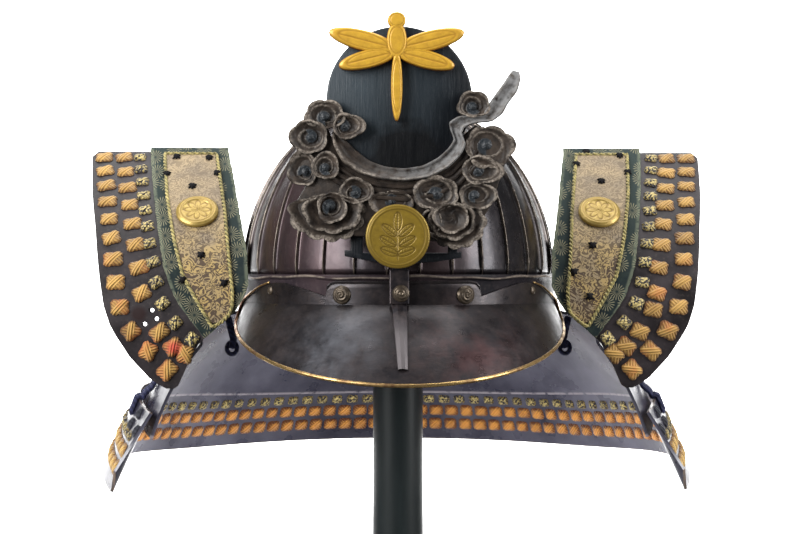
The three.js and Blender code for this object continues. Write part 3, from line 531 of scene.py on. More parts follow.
def tube(name, path, radius, sides=10, close=False):
    """A round tube along a path of points, closed into a ring or not. Each point may have its own radius."""
    path = np.asarray(path, float)
    along = np.roll(path, -1, 0) - np.roll(path, 1, 0) if close else np.gradient(path, axis=0)
    along = unit(along)
    across = np.cross(along[0], [0.3, 0.2, 0.93])
    frames = []
    for step in along:
        across = across - step * np.dot(across, step)
        across /= np.linalg.norm(across)
        frames.append(across)
    frames = np.array(frames)
    other = np.cross(along, frames)
    turn = circle_turns(sides)
    radius = np.broadcast_to(radius, len(path))[:, None, None]
    round_part = np.cos(turn)[None, :, None] * frames[:, None] + np.sin(turn)[None, :, None] * other[:, None]
    points = path[:, None] + round_part * radius
    faces = grid_faces(len(path), sides, ring=True)
    if close:
        last = grid_faces(2, sides, ring=True)
        last = np.where(last < sides, last + (len(path) - 1) * sides, last - sides)
        faces = np.concatenate([faces, last]).tolist()
    else:
        start, end = range(sides)[::-1], range((len(path) - 1) * sides, len(path) * sides)
        faces = faces.tolist() + [tuple(start), tuple(end)]
    return new_mesh(name, points.reshape(-1, 3), faces)


def height_fade(tree, low, high):
    """0 below the low height and 1 above the high one, in millimetres."""
    return ramp(tree, node(tree, "SeparateXYZ", {0: place_socket(tree)}).outputs["Z"], low * MM, high * MM)


def visor_material():
    material, tree, wire = finish("visor_steel", Metallic=0.78, Coat_Weight=0.2, Coat_Roughness=0.22)
    cloud = ramp(tree, noise(tree, 30, 6, 0.62), 0.35, 0.68)
    mottle = ramp(tree, noise(tree, 5, 6, 0.7), 0.4, 0.7)
    skin = mix(tree, cloud, (0.015, 0.013, 0.016), (0.045, 0.037, 0.039))
    skin = mix(tree, height_fade(tree, 200, 212), skin, (0.018, 0.015, 0.017))
    skin = mix(tree, times(tree, mottle, 0.14), skin, (0.12, 0.085, 0.07))
    # Painted sheen: a patchy lighter blue-grey left of the middle.
    painted_sheen = times(tree, near(tree, *VISOR_SHEEN_SPOT), ramp(tree, noise(tree, 16, 4), 0.3, 0.6))
    skin = mix(tree, times(tree, painted_sheen, 0.8), skin, (0.12, 0.127, 0.145))
    rust = times(tree, near(tree, *RUST_SPOT), ramp(tree, noise(tree, 20, 5), 0.42, 0.62))
    skin = mix(tree, times(tree, rust, 0.6), skin, (0.085, 0.035, 0.036))
    for side in (-1, 1):
        moved = (-side * DRIP_X * MM, 0, -DRIP_Z * MM)
        drip = node(tree, "Mapping", {"Vector": place_socket(tree), "Location": moved})
        drip.inputs["Scale"].default_value = (1, 0.02, 0.35)
        drop = node(tree, "VectorMath", {0: drip.outputs[0]}, operation="LENGTH").outputs["Value"]
        streak = times(tree, ramp(tree, drop, 0.0055, 0.002), ramp(tree, noise(tree, 3, 3), 0.4, 0.6))
        skin = mix(tree, times(tree, streak, 0.6), skin, (0.15, 0.11, 0.06))
    rough = spread(tree, noise(tree, 12, 6, 0.65), 0.27, 0.5, 0.35, 0.7)
    scratch = noise(tree, 6, 4, 0.6, (1, 1, 3))
    wire(Base_Color=skin, Roughness=rough, Normal=bump(tree, scratch, 0.35, 0.35))
    return material


def visor():
    shoulder = VISOR_TOP[1:5, 0]
    turn = np.unique(np.concatenate([np.linspace(-VISOR_END, VISOR_END, 153), -shoulder, shoulder]))
    top = np.interp(np.abs(turn), *VISOR_TOP.T)
    bend = np.minimum(VISOR_BEND_Z, top - 2)
    share = np.array([0, 0.06, 0.12, 0.18, 0.3, 0.5, 0.7, 0.85, 0.95])[:, None]
    groove = (np.abs(turn) < 25.7) * (share == 0.12)
    flange = on_flange(turn[None], top + (bend - top) * share)
    flange *= (1 - groove * 0.004)[..., None] * [1, 1, 0] + [0, 0, 1]
    rows = np.concatenate([[0, 0.02], np.linspace(0.05, 1, 26)])[:, None]
    peak = on_visor(*np.broadcast_arrays(turn, rows))
    piece = plate("visor_plate", np.concatenate([flange, peak]), VISOR_WALL)
    return place_piece(piece, visor_material(), "russet_steel", "visor")


def visor_rim():
    turn = np.linspace(-VISOR_END + 0.9, VISOR_END - 0.9, 121)
    edge = on_visor(turn, np.ones(len(turn)))
    outward = edge - on_visor(turn, np.full(len(turn), 0.96))
    outward = unit(outward)
    path = edge + outward * (1.2 + (turn / VISOR_END)[:, None] ** 2)
    ear = np.linspace(VISOR_END, EAR_BINDING_END, 24)
    top = np.interp(ear, *VISOR_TOP.T)
    swell, raised = np.array([1.008, 1.008, 1]), np.array([0, 0, 0.5])
    left_ear = on_flange(-ear, top) * swell + raised
    right_ear = on_flange(ear, top) * swell + raised
    radius = VISOR_RIM_RADIUS + 0.12 * np.sin(turn * 1.7) * np.sin(turn * 0.61)
    thin = np.linspace(VISOR_RIM_RADIUS * 0.85, 0.55, len(ear))
    path = np.concatenate([left_ear[::-1], path, right_ear])
    piece = tube("visor_binding", path, np.concatenate([thin[::-1], radius, thin]), 10)
    material, tree, wire = finish("brass_wire", Metallic=0.95)
    tarnish = ramp(tree, noise(tree, 9, 5, 0.65), 0.4, 0.62)
    brass = mix(tree, tarnish, (0.52, 0.35, 0.14), (0.17, 0.1, 0.05))
    copper = near(tree, *COPPER_SPOT)
    colour = mix(tree, copper, brass, (0.42, 0.22, 0.14))
    wire(Base_Color=colour, Roughness=spread(tree, tarnish, 0.24, 0.5))
    return place_piece(piece, material, "gilt_wire", "visor_rim")


visor()
visor_rim()

# Rivets of the visor
# Domed bronze heads with a spiral cut into each hold the flange, and two small ones hold its ears.
RIVETS = [
    {"name": "rivet_left", "turn": -20.4, "z": 218, "radius": 5.8, "rise": 3},
    {"name": "rivet_right", "turn": 20.4, "z": 218, "radius": 5.8, "rise": 3},
    {"name": "ear_rivet_left", "turn": -50, "z": 220, "radius": 2.6, "rise": 1.4},
    {"name": "ear_rivet_right", "turn": 50, "z": 220, "radius": 2.6, "rise": 1.4},
]
CENTRE_RIVET_AT = (-2.1, -130.9, 219)
CENTRE_RIVET_SIZE = (5.2, 3)


def dome_grid(radius, rise, rings=14, sides=40, relief=None):
    """A round boss facing -Y, in rings from its foot to its middle, with its relief added."""
    share = np.linspace(1, 0.02, rings)[:, None]
    turn = circle_turns(sides)[None]
    height = rise * np.sqrt(np.clip(1 - (share * 0.985) ** 2, 0, 1))
    height = height + (0 if relief is None else relief(turn, share))
    x, z = radius * share * np.sin(turn), radius * share * np.cos(turn)
    return np.stack(np.broadcast_arrays(x, -height, z), -1)


def boss(name, grid, at, yaw=0.0):
    """A round boss on its spot, turned about Z to face away from the surface below it."""
    rings, sides = grid.shape[:2]
    c, s = np.cos(yaw), np.sin(yaw)
    points = grid.reshape(-1, 3) @ np.array([[c, s, 0], [-s, c, 0], [0, 0, 1]]) + np.array(at)
    faces = grid_faces(rings, sides, ring=True)[:, ::-1].tolist()
    return new_mesh(name, points, faces + [tuple(range((rings - 1) * sides, rings * sides))])


def bronze_material():
    material, tree, wire = finish("bronze_heads", Metallic=0.65)
    pale_edge = ramp(tree, noise(tree, 2.5, 5, 0.65), 0.35, 0.65)
    colour = mix(tree, pale_edge, (0.04, 0.031, 0.024), (0.11, 0.084, 0.058))
    wire(Base_Color=colour, Roughness=spread(tree, pale_edge, 0.5, 0.3))
    return material


def rivets():
    def spiral(turn, share):
        return 0.28 * np.cos(turn + share * 17) * np.clip((1 - share) * 4, 0, 1)

    bronze = bronze_material()
    for rivet in RIVETS:
        at = on_flange(rivet["turn"], rivet["z"])
        grid = dome_grid(rivet["radius"], rivet["rise"], 18, 48, spiral if rivet["radius"] > 4 else None)
        head = boss(rivet["name"] + "_head", grid, at, np.radians(rivet["turn"]))
        place_piece(head, bronze, "bronze", rivet["name"])
    centre = boss("rivet_centre_head", dome_grid(*CENTRE_RIVET_SIZE, 18, 48, spiral), CENTRE_RIVET_AT)
    place_piece(centre, bronze, "bronze", "rivet_centre")


rivets()

# Crest clip
# A dark steel clip is held by the centre rivet, and its faceted tongue runs down the middle of the visor.
CLIP_OUTLINE = [[-9.1, 212.6], [2.9, 212.6], [2.9, 233.5], [-9.1, 233.5]]
CLIP_FRONT, CLIP_BACK = -130.7, -127.1
TONGUE_HALF_WIDTH = (4.6, 2.4)
TONGUE_RISE = (2.1, 1.1)
TONGUE_MIDDLE = (-3.1, -1.7)
TONGUE_FACETS = ((-1, 0.15), (-0.92, 0.55), (-0.25, 1), (0.45, 0.9), (0.95, 0.4), (1, 0.15))
TONGUE_END = 0.86


def rounded(outline, inset):
    """An outline moved inwards by the inset, each corner along the line that halves it."""
    outline = np.asarray(outline, float)
    before = outline - np.roll(outline, 1, 0)
    after = np.roll(outline, -1, 0) - outline
    before = unit(before)
    after = unit(after)
    area = np.sum(outline[:, 0] * np.roll(outline[:, 1], -1) - np.roll(outline[:, 0], -1) * outline[:, 1])
    turn = np.sign(area)
    sideways = turn * np.stack([-(before + after)[:, 1], (before + after)[:, 0]], 1)
    sideways /= np.maximum(np.linalg.norm(sideways, axis=1, keepdims=True), 1e-6)
    lean = np.clip(np.sum(sideways * turn * np.stack([-after[:, 1], after[:, 0]], 1), 1), 0.5, 1)
    return outline + sideways * (inset / lean)[:, None]


def slab(name, outline, front, back, bevel):
    """A board standing in the XZ plane, cut to an outline, with a rounded front edge."""
    rings = [
        (outline, back),
        (outline, front + bevel),
        (rounded(outline, bevel * 0.3), front + bevel * 0.3),
        (rounded(outline, bevel), front),
    ]
    points = np.concatenate([np.insert(np.asarray(ring, float), 1, depth, axis=1) for ring, depth in rings])
    count = len(outline)
    faces = grid_faces(len(rings), count, ring=True).tolist()
    faces += [tuple(range(count))[::-1], tuple(range(count * 3, count * 4))]
    return sharpen(new_mesh(name, points, faces), 50)


def join(name, pieces):
    """One piece out of several, with all their points and faces."""
    points, faces, first = [], [], 0
    for part in pieces:
        mesh = part.data
        place = np.empty(len(mesh.vertices) * 3)
        mesh.vertices.foreach_get("co", place)
        points.append(place.reshape(-1, 3) / MM)
        faces += [tuple(first + i for i in face.vertices) for face in mesh.polygons]
        first += len(mesh.vertices)
        bpy.data.objects.remove(part)
        bpy.data.meshes.remove(mesh)
    return sharpen(new_mesh(name, np.concatenate(points), faces))


def clip():
    strip = slab("clip_strip", CLIP_OUTLINE, CLIP_FRONT, CLIP_BACK, 0.8)
    rows = np.concatenate([np.linspace(0, 0.03, 3), np.linspace(0.06, TONGUE_END, 18)])
    lines = []
    for side, rise in TONGUE_FACETS:
        width = np.interp(rows, [0, TONGUE_END], TONGUE_HALF_WIDTH)
        middle = np.interp(rows, [0, TONGUE_END], TONGUE_MIDDLE)
        turn = np.degrees(np.arcsin((middle + side * width) / FLANGE_RADIUS))
        turn = turn * np.interp(rows, [0, 1], [1, 1.02])
        at = on_visor(turn, rows)
        height = np.interp(rows, [0, TONGUE_END], TONGUE_RISE) * rise + 0.3
        lines.append(at + height[:, None] * np.array([0, -0.75, 0.66]))
    tongue = plate("clip_tongue", np.stack(lines, 1)[:, ::-1], 0.2, 12)
    piece = join("crest_clip", [strip, tongue])
    sharpen(piece, 14)
    material, tree, wire = finish("clip_steel", Metallic=0.75)
    colour = mix(tree, ramp(tree, noise(tree, 5, 5), 0.4, 0.65), (0.028, 0.025, 0.029), (0.075, 0.06, 0.06))
    # Painted highlight: the tongue, below the strip, is painted lighter.
    colour = mix(tree, height_fade(tree, 196, 207), (0.15, 0.135, 0.14), colour)
    wire(Base_Color=colour, Roughness=spread(tree, noise(tree, 7, 4), 0.25, 0.5))
    return place_piece(piece, material, "bronze", "crest_holder")


clip()

# Crest board and disc
# The front crest is carved wood. A foot with two legs and a tenon stands in the clip below a lacquered disc.
FOOT_OUTLINE = [
    [-36.1, 245], [-32.5, 245], [-32.5, 262], [-25.2, 262], [-25.2, 243.5], [26, 243.5], [26, 258],
    [31.4, 258], [31.4, 244], [34, 244], [34, 240.5], [18, 238], [2.9, 237], [-9.1, 237], [-18, 238],
    [-36.1, 241.5],
]
FOOT_FRONT, FOOT_BACK = -138, -131.6
TENON_OUTLINE = [[-7.1, 216.2], [0.9, 216.2], [0.9, 243], [-7.1, 243]]
BLOCK_OUTLINE = [[-8, 237.5], [2, 237.5], [2, 243], [-8, 243]]
DISC_CENTRE = (-3.2, 335.5)
DISC_RADIUS = 43.7
SHEEN_SPOT = ((-26, -138, 350), 62)
SMUDGE_SPOT = ((0, -138, 302), 34)
DISC_FRONT, DISC_BACK = -138, -132.1


def lacquered_wood():
    material, tree, wire = finish("black_wood", Specular_IOR_Level=0.3)
    grain = noise(tree, 2.2, 6, 0.7, (1, 1, 0.07), 0.6)
    streak = noise(tree, 0.9, 4, 0.7, (1, 1, 0.04))
    light = plus(tree, near(tree, *SHEEN_SPOT), times(tree, grain, 0.25))
    colour = mix(tree, ramp(tree, light, 0.12, 1), (0.003, 0.0045, 0.007), (0.028, 0.039, 0.048))
    colour = mix(tree, ramp(tree, streak, 0.58, 0.85), colour, (0.045, 0.052, 0.06))
    smudge = plus(tree, near(tree, *SMUDGE_SPOT), times(tree, noise(tree, 8, 4), 0.5))
    colour = mix(tree, ramp(tree, smudge, 0.55, 0.8), colour, (0.002, 0.0025, 0.0035))
    rough = spread(tree, grain, 0.3, 0.52, 0.3, 0.7)
    wire(Base_Color=colour, Roughness=rough, Normal=bump(tree, streak, 0.35, 0.6))
    return material


def crest_board():
    material = lacquered_wood()
    foot = slab("foot_board", FOOT_OUTLINE, FOOT_FRONT, FOOT_BACK, 0.8)
    tenon = slab("foot_tenon", TENON_OUTLINE, -128.7, -127.1, 0.3)
    block = slab("foot_block", BLOCK_OUTLINE, -131.7, -127.1, 0.4)
    place_piece(join("crest_legs", [foot, tenon, block]), material, "carved_wood", "crest_foot")
    turn = circle_turns(128)
    circle = np.stack([np.cos(turn), np.sin(turn)], 1) * DISC_RADIUS + DISC_CENTRE
    place_piece(slab("sun_disc", circle, DISC_FRONT, DISC_BACK, 1.2), material, "disc_lacquer", "crest_disc")


crest_board()

# Crest clouds
# A bank of carved cloud curls fills the lower half of the disc: scalloped cups, each round a spiral knob.
# The high edges are painted pale, partly as wear and partly as painted highlight; the wood is mottled brown
# with dust, its hollows and the gaps between curls are painted dark as shade, and the knobs have kept their
# blue-grey coat.
CLOUD_BACK_Y = -138.3
CLOUD_DEPTH = 11.9
# Each curl: its middle, its left, right, low and high limits, its lift and lobes and its knob's size, if any.
CUPS = [
    ((-47.9, 324.1), -59.6, -36.3, 318, 334, 5.5, 5, 3.4),
    ((-56.5, 312.2), -68.5, -46.8, 303, 322, 6.2, 5, 3.2),
    ((-36.5, 318.6), -42, -24.2, 311.8, 325.7, 6.6, 4, 3),
    ((-59.2, 291.4), -69.8, -53.6, 284, 304, 5.2, 4, 3.3),
    ((-47.3, 293.8), -55, -39.8, 287.9, 303, 6.4, 3, 3),
    ((-30.1, 278.9), -38.8, -19.5, 273.5, 287.6, 6.6, 4, 3.1),
    ((-7.5, 274.4), -21, 4.4, 264, 279.6, 4.5, 4, 3.4),
    ((18.6, 278.4), 4.9, 31.3, 269.5, 288.8, 6.2, 6, 3.4),
    ((41.8, 277.5), 32.9, 54.5, 270, 285.2, 5.4, 5, 2.9),
    ((42.9, 292.3), 34.8, 58.4, 285, 300.8, 5.8, 4, 3.1),
    ((48.5, 307.5), 36.6, 65.3, 294, 318.6, 5, 6, 4),
    ((40.3, 330.3), 31.8, 50.2, 325, 339.4, 6.6, 5, 3.3),
    ((16.6, 261.9), 10, 20.8, 255.5, 269.4, 5.4, 3, 2.2),
]
NESTED_CUPS = [
    ((-43, 268.5), -70, -24, 250.8, 277.4, 3.6, 11),
    ((-43.5, 269), -61, -25.5, 255.6, 277.8, 6.2, 7),
    ((-44.6, 271), -51.6, -35.2, 261.2, 278.6, 8.4, 4, 3.5),
    ((30, 262.5), 13.5, 48.2, 246.4, 273, 3.6, 12),
    ((28.5, 264), 14.5, 41.5, 251.5, 272.5, 5.8, 7),
    ((28, 265.5), 17, 37.2, 255.5, 272, 7.4, 5),
]
CLOUD_BOARD = [
    [-46, 318], [-60, 306], [-64, 294], [-59, 284], [-66, 272], [-59, 260], [-48, 254], [-24, 253],
    [11, 250.5], [29, 250], [45, 261], [52, 273], [56, 285], [60, 297], [61.5, 308], [50, 317], [42, 320],
    [35, 314], [34, 304], [24, 293.5], [4.5, 287], [-16, 287.5], [-33, 295], [-41, 305],
]
CRESCENT_OUTER = [
    [-43.5, 316.2], [-43, 307.8], [-37.5, 297.1], [-26.7, 290.5], [-14.8, 287.2], [-0.5, 286], [13.9, 288.1],
    [25.8, 294.1], [33.6, 301.9], [36.3, 308.4], [33.6, 314.4], [35.4, 318.4], [42.5, 321], [52.1, 321.8],
    [58.3, 326.3], [61.4, 332.3], [67, 339.5], [69.2, 347.2], [68.6, 352.3],
]
CRESCENT_INNER = [
    [-39.8, 318.6], [-35.7, 310.8], [-29.1, 304.4], [-21, 298.2], [-12, 295], [-0.5, 293.8], [10.8, 295.6],
    [19.8, 300.4], [26, 306], [29.3, 311.2], [27.3, 316.2], [26.2, 321.6], [32, 325.3], [45.5, 324.8],
    [49.5, 331.8], [54.5, 339.2], [58.8, 345], [62.6, 350.8], [64.6, 353],
]
CRESCENT_STEPS = 150
CURL_OVERLAP = 1.1
FLOW_RIDGES = (1.07, 1.14, 1.22)


def cup_grid(at, left, right, low, high, lift, lobes, knob=0.0):
    """Polar relief of one curl. The outline is an oval through the four limits, scalloped by its lobes.
    From the middle out it has a snail-like knob, a hollow, a rounded rim and a steep side."""
    share = np.concatenate([[0.03], np.linspace(0.08, 0.86, 17), [0.9, 0.94, 0.965, 0.985, 1, 1]])[:, None]
    turn = circle_turns(96)[None]
    wide = np.where(np.cos(turn) > 0, right - at[0], at[0] - left) + CURL_OVERLAP
    tall = np.where(np.sin(turn) > 0, high - at[1], at[1] - low) + CURL_OVERLAP
    reach = 1 / np.sqrt((np.cos(turn) / wide) ** 2 + (np.sin(turn) / tall) ** 2)
    lobe = np.abs(np.sin(lobes * turn / 2 + at[0]))
    scallop = 1 - 0.12 * (1 - lobe**0.7) * share**3
    radius = reach * share * scallop
    size = min(right - left, high - low) / 2
    hollow = lift * 0.52
    height = hollow + (lift - hollow) * np.clip((share - 0.3) / 0.6, 0, 1) ** 1.7
    height = height - 0.09 * lift * (1 - lobe**0.5) * share**2
    height = height + 0.16 * np.sin(radius * 5.2 / size + turn * 2) * np.sin(radius * 2.3 + turn * 9)
    # Pale marks on the rim and on the knob's spiral lip: partly wear, partly painted highlight.
    pale_edge = np.clip((share - 0.8) / 0.08, 0, 1) * np.clip((1.01 - share) / 0.03, 0, 1) * np.ones_like(turn)
    knobby = np.zeros_like(radius)
    if knob:
        out = radius / (1.2 * knob)
        curl = (turn / (2 * np.pi) + at[1] * 0.3) % 1
        step = np.clip((0.62 + 0.75 * curl - out) / 0.14, 0, 1)
        top = np.clip((0.52 - out) / 0.3, 0, 1)
        rise = lift * 0.22 * np.sqrt(step) * (0.6 + 0.4 * curl) + lift * 0.22 * np.sqrt(top)
        height = height + rise
        knobby = np.clip(step * 1.3, 0, 1) * np.clip((1.5 - out) / 0.4, 0, 1)
        lip = np.exp(-(((share - 0.42 - 0.46 * curl) / 0.055) ** 2))
        height = height + lip * 0.15 * lift
        pale_edge = np.maximum(pale_edge, np.maximum(2.2 * step * (1 - step), 0.75 * lip))
    height[-1] = 0
    height = np.minimum(height, CLOUD_DEPTH)
    x, z = at[0] + radius * np.cos(turn), at[1] + radius * np.sin(turn)
    grid = np.stack([x, CLOUD_BACK_Y - height, z], -1)
    # Painted shade: the hollow round the knob, the creases between the lobes and the steep side are marked
    # deep, to be painted dark.
    ring = np.clip(1.2 - np.abs(share - 0.36) / 0.22, 0, 1) * (1 - knobby)
    crease = 0.8 * (1 - lobe**0.35) * share
    deep = np.clip(np.maximum(np.maximum(ring * 0.75, crease), share > 0.98), 0, 1)
    return grid, pale_edge * np.ones_like(radius), knobby, deep


def relief_piece(name, grid, values, ring):
    """A mesh of a relief grid, with its named values."""
    rows, columns = grid.shape[:2]
    faces = grid_faces(rows, columns, ring=ring)[:, ::-1].tolist()
    if ring:
        faces.append(tuple(range(columns)))
    piece = new_mesh(name, grid.reshape(-1, 3), faces)
    for key, value in values.items():
        add_attribute(piece, key, value)
    return piece


def crescent_grid():
    """The raised rim under the disc and its tail: a band between two lines, high along the outer one."""
    at = np.linspace(0, 1, len(CRESCENT_OUTER))
    along = np.linspace(0, 1, CRESCENT_STEPS)
    smooth = np.exp(-(((along[:, None] - along[None]) / 0.012) ** 2))
    smooth /= smooth.sum(1, keepdims=True)
    edges = []
    for line in (CRESCENT_OUTER, CRESCENT_INNER):
        line = np.array(line, float)
        edges.append(smooth @ np.stack([np.interp(along, at, values) for values in line.T], 1))
    across = np.array([0, 0, 0.03, 0.08, 0.14, 0.22, 0.35, 0.5, 0.65, 0.8, 0.9, 0.96, 1, 1])
    tail = np.clip((along - 0.58) / 0.1, 0, 1)[:, None]
    bank = np.interp(across, [0, 0.08, 0.2, 0.45, 0.8, 0.9, 1], [5.5, 7.6, 7, 2.6, 2, 3.4, 1.5])
    hook = np.interp(across, [0, 0.08, 0.16, 0.5, 0.84, 0.92, 1], [5, 6.4, 6, 4.2, 6, 6.4, 5])
    height = bank * (1 - tail) + hook * tail
    fade = np.clip(along / 0.06, 0.35, 1)[:, None] * np.clip((1.03 - along) / 0.12, 0.3, 1)[:, None]
    height = height * fade
    height[:, [0, -1]] = 0
    place = edges[0][:, None] * (1 - across[None, :, None]) + edges[1][:, None] * across[None, :, None]
    grid = np.stack([place[..., 0], CLOUD_BACK_Y - height, place[..., 1]], -1)
    # Marks the high edges for pale paint, partly wear and partly painted highlight.
    rim = np.interp(across, [0, 0.05, 0.14, 0.3], [0.3, 1, 1, 0])[None] * np.ones_like(along)[:, None]
    rim = np.maximum(rim, np.interp(across, [0.8, 0.9, 1], [0, 1, 0.4])[None] * tail)
    silver = np.clip((along - 0.12) / 0.3, 0, 1)[:, None] * np.ones_like(across)[None]
    return grid, rim, silver


def carved_material():
    material, tree, wire = finish("carved_cloud", Specular_IOR_Level=0.22)
    dust = ramp(tree, noise(tree, 7, 6, 0.65), 0.35, 0.68)
    fine = noise(tree, 1.4, 6, 0.7)
    wood = mix(tree, dust, (0.012, 0.009, 0.0075), (0.058, 0.043, 0.033))
    # Painted shade: the places marked deep are darkened.
    wood = mix(tree, times(tree, attribute(tree, "deep"), 0.9), wood, (0.007, 0.0055, 0.005))
    spots = times(tree, ramp(tree, fine, 0.36, 0.62), ramp(tree, noise(tree, 8, 3), 0.36, 0.56))
    patch = times(tree, spots, attribute(tree, "pale_edge"))
    # Pale patches on the marked rims: partly wear, partly painted highlight.
    wood = mix(tree, times(tree, patch, 0.8), wood, (0.38, 0.325, 0.27))
    wood = mix(tree, times(tree, attribute(tree, "knob"), 0.85), wood, (0.022, 0.028, 0.034))
    glaze = times(tree, attribute(tree, "silver"), ramp(tree, noise(tree, 4, 5), 0.3, 0.55))
    wood = mix(tree, times(tree, glaze, 0.8), wood, (0.2, 0.2, 0.2))
    rough = spread(tree, fine, 0.34, 0.6, 0.3, 0.7)
    rough = minus(tree, rough, times(tree, attribute(tree, "knob"), 0.16))
    wire(Base_Color=wood, Roughness=rough, Normal=bump(tree, fine, 0.4, 0.6))
    return material


def clouds():
    material = carved_material()
    board = slab("cloud_board", CLOUD_BOARD, CLOUD_BACK_Y - 3.2, CLOUD_BACK_Y, 1.5)
    curls = []
    for number, cup in enumerate(NESTED_CUPS + CUPS):
        grid, pale_edge, knobby, deep = cup_grid(*cup)
        values = {"pale_edge": pale_edge, "knob": knobby, "deep": deep}
        curls.append(relief_piece(f"cloud_curl_{number + 1}", grid, values, ring=True))
    grid, rim, silver = crescent_grid()
    values = {"pale_edge": rim[:, ::-1], "silver": silver[:, ::-1]}
    bank = relief_piece("cloud_crescent", grid[:, ::-1], values, ring=False)
    ridges = []
    for reach in FLOW_RIDGES:
        line = np.array(CRESCENT_OUTER[2:10], float)
        line = DISC_CENTRE + (line - DISC_CENTRE) * reach
        line = resample(line, 50)
        ridges.append(tube("flow_ridge", np.insert(line, 1, CLOUD_BACK_Y - 3, axis=1), 1.5, 8))
    board = join("cloud_board", [board, *ridges])
    # The board behind the curls is darkened a little, as painted shade.
    add_attribute(board, "deep", np.full(len(board.data.vertices), 0.2))
    place_piece(board, material, "carved_wood", "crest_clouds")
    for piece in [*curls, bank]:
        place_piece(piece, material, "carved_wood")


clouds()

# Crest figure and medallion
# A gilt wooden dragonfly lies on the disc, and a gilt copper medallion sits in front of the clouds' foot.
# Thick gold lacquer has rubbed orange at the dragonfly's edges, and a leafy sprig is cut in the medallion.
FIGURE_CENTRE = (-5, 358)
FIGURE_BACK_Y = -138.3
FIGURE_DEPTH = 5.9
DRAGONFLY = [
    {"at": (0, 24), "size": (5.5, 5), "lean": 0},
    {"at": (0, 12), "size": (6, 11), "lean": 0},
    {"at": (0, -15), "size": (3.4, 21), "lean": 0},
    {"at": (-20, 12), "size": (21, 6), "lean": -14},
    {"at": (20, 12), "size": (21, 6), "lean": 14},
    {"at": (-17, 1), "size": (18, 5.4), "lean": 14},
    {"at": (17, 1), "size": (18, 5.4), "lean": -14},
]
MEDALLION_CENTRE = (-4.7, -150.6, 253)
MEDALLION_RADIUS = 19
MEDALLION_RISE = 3.4
ENGRAVING_DEPTH = 0.3
SPRIG_LEAVES = [
    (0, 9, 90), (-5, 3.5, 140), (5, 3.5, 40), (-5.6, -3, 150), (5.6, -3, 30), (-5, -9, 160), (5, -9, 20),
]
SPRIG_LEAF_SIZE = (5.2, 2.3)


def gold(name, light, dark, metallic):
    material, tree, wire = finish(name, Metallic=metallic)
    rub = ramp(tree, noise(tree, 6, 6, 0.65), 0.4, 0.66)
    shade = math(tree, "MAXIMUM", times(tree, rub, 0.35), attribute(tree, "cut"))
    fine = noise(tree, 1.2, 5, 0.65)
    wire(
        Base_Color=mix(tree, shade, light, dark),
        Roughness=spread(tree, fine, 0.3, 0.46, 0.3, 0.7),
        Normal=bump(tree, fine, 0.25, 0.35),
    )
    return material


def dragonfly():
    material = gold("gilt_lacquer", (0.6, 0.345, 0.032), (0.22, 0.085, 0.012), 0.2)
    for number, part in enumerate(DRAGONFLY):
        share = np.concatenate([np.linspace(0.03, 0.8, 12), [0.86, 0.9, 0.94, 0.97, 0.99, 1, 1]])[:, None]
        turn = circle_turns(64)[None]
        lean = np.radians(part["lean"])
        u, v = part["size"][0] * share * np.cos(turn), part["size"][1] * share * np.sin(turn)
        groove = np.exp(-(((share - 0.72) / 0.05) ** 2)) * np.ones_like(turn)
        if part["lean"]:
            groove = np.maximum(groove, np.exp(-((v / 0.5) ** 2)) * (share < 0.7))
        rounding = 1.3 * np.clip((share - 0.8) / 0.2, 0, 1) ** 2
        height = FIGURE_DEPTH - 0.35 * groove - rounding - 0.25 * share**2
        height = height - (0.4 if part["lean"] else 0)
        height[-1] = 0
        x = FIGURE_CENTRE[0] + part["at"][0] + u * np.cos(lean) - v * np.sin(lean)
        z = FIGURE_CENTRE[1] + part["at"][1] + u * np.sin(lean) + v * np.cos(lean)
        cut = np.maximum(groove * 0.55, np.clip((share - 0.955) / 0.03, 0, 1) * np.ones_like(turn))
        grid = np.stack([x, FIGURE_BACK_Y - height, z], -1)
        piece = relief_piece(f"dragonfly_{number + 1}", grid, {"cut": cut}, ring=True)
        place_piece(piece, material, "gilt_wood", *(["crest_figure"] if number == 0 else []))


def sprig_lines(x, z):
    """How deep the engraving is at a point: the outline, midrib and side veins of each leaf, and the stem."""
    lines = np.exp(-((x / 0.35) ** 2)) * (np.abs(z + 3) < 11)
    for leaf_x, leaf_z, way in SPRIG_LEAVES:
        c, s = np.cos(np.radians(way)), np.sin(np.radians(way))
        along = ((x - leaf_x) * c + (z - leaf_z) * s) / SPRIG_LEAF_SIZE[0]
        across = (-(x - leaf_x) * s + (z - leaf_z) * c) / SPRIG_LEAF_SIZE[1]
        out = np.hypot(along, across)
        inside = out < 1
        outline = np.exp(-(((out - 1) / 0.13) ** 2))
        midrib = np.exp(-((across / 0.16) ** 2)) * inside
        veins = 0.6 * np.exp(-((((along * 3.2 - np.abs(across) * 0.9) % 1 - 0.5) / 0.16) ** 2)) * inside
        lines = np.maximum(lines, np.maximum(outline, np.maximum(midrib, veins)))
    return lines


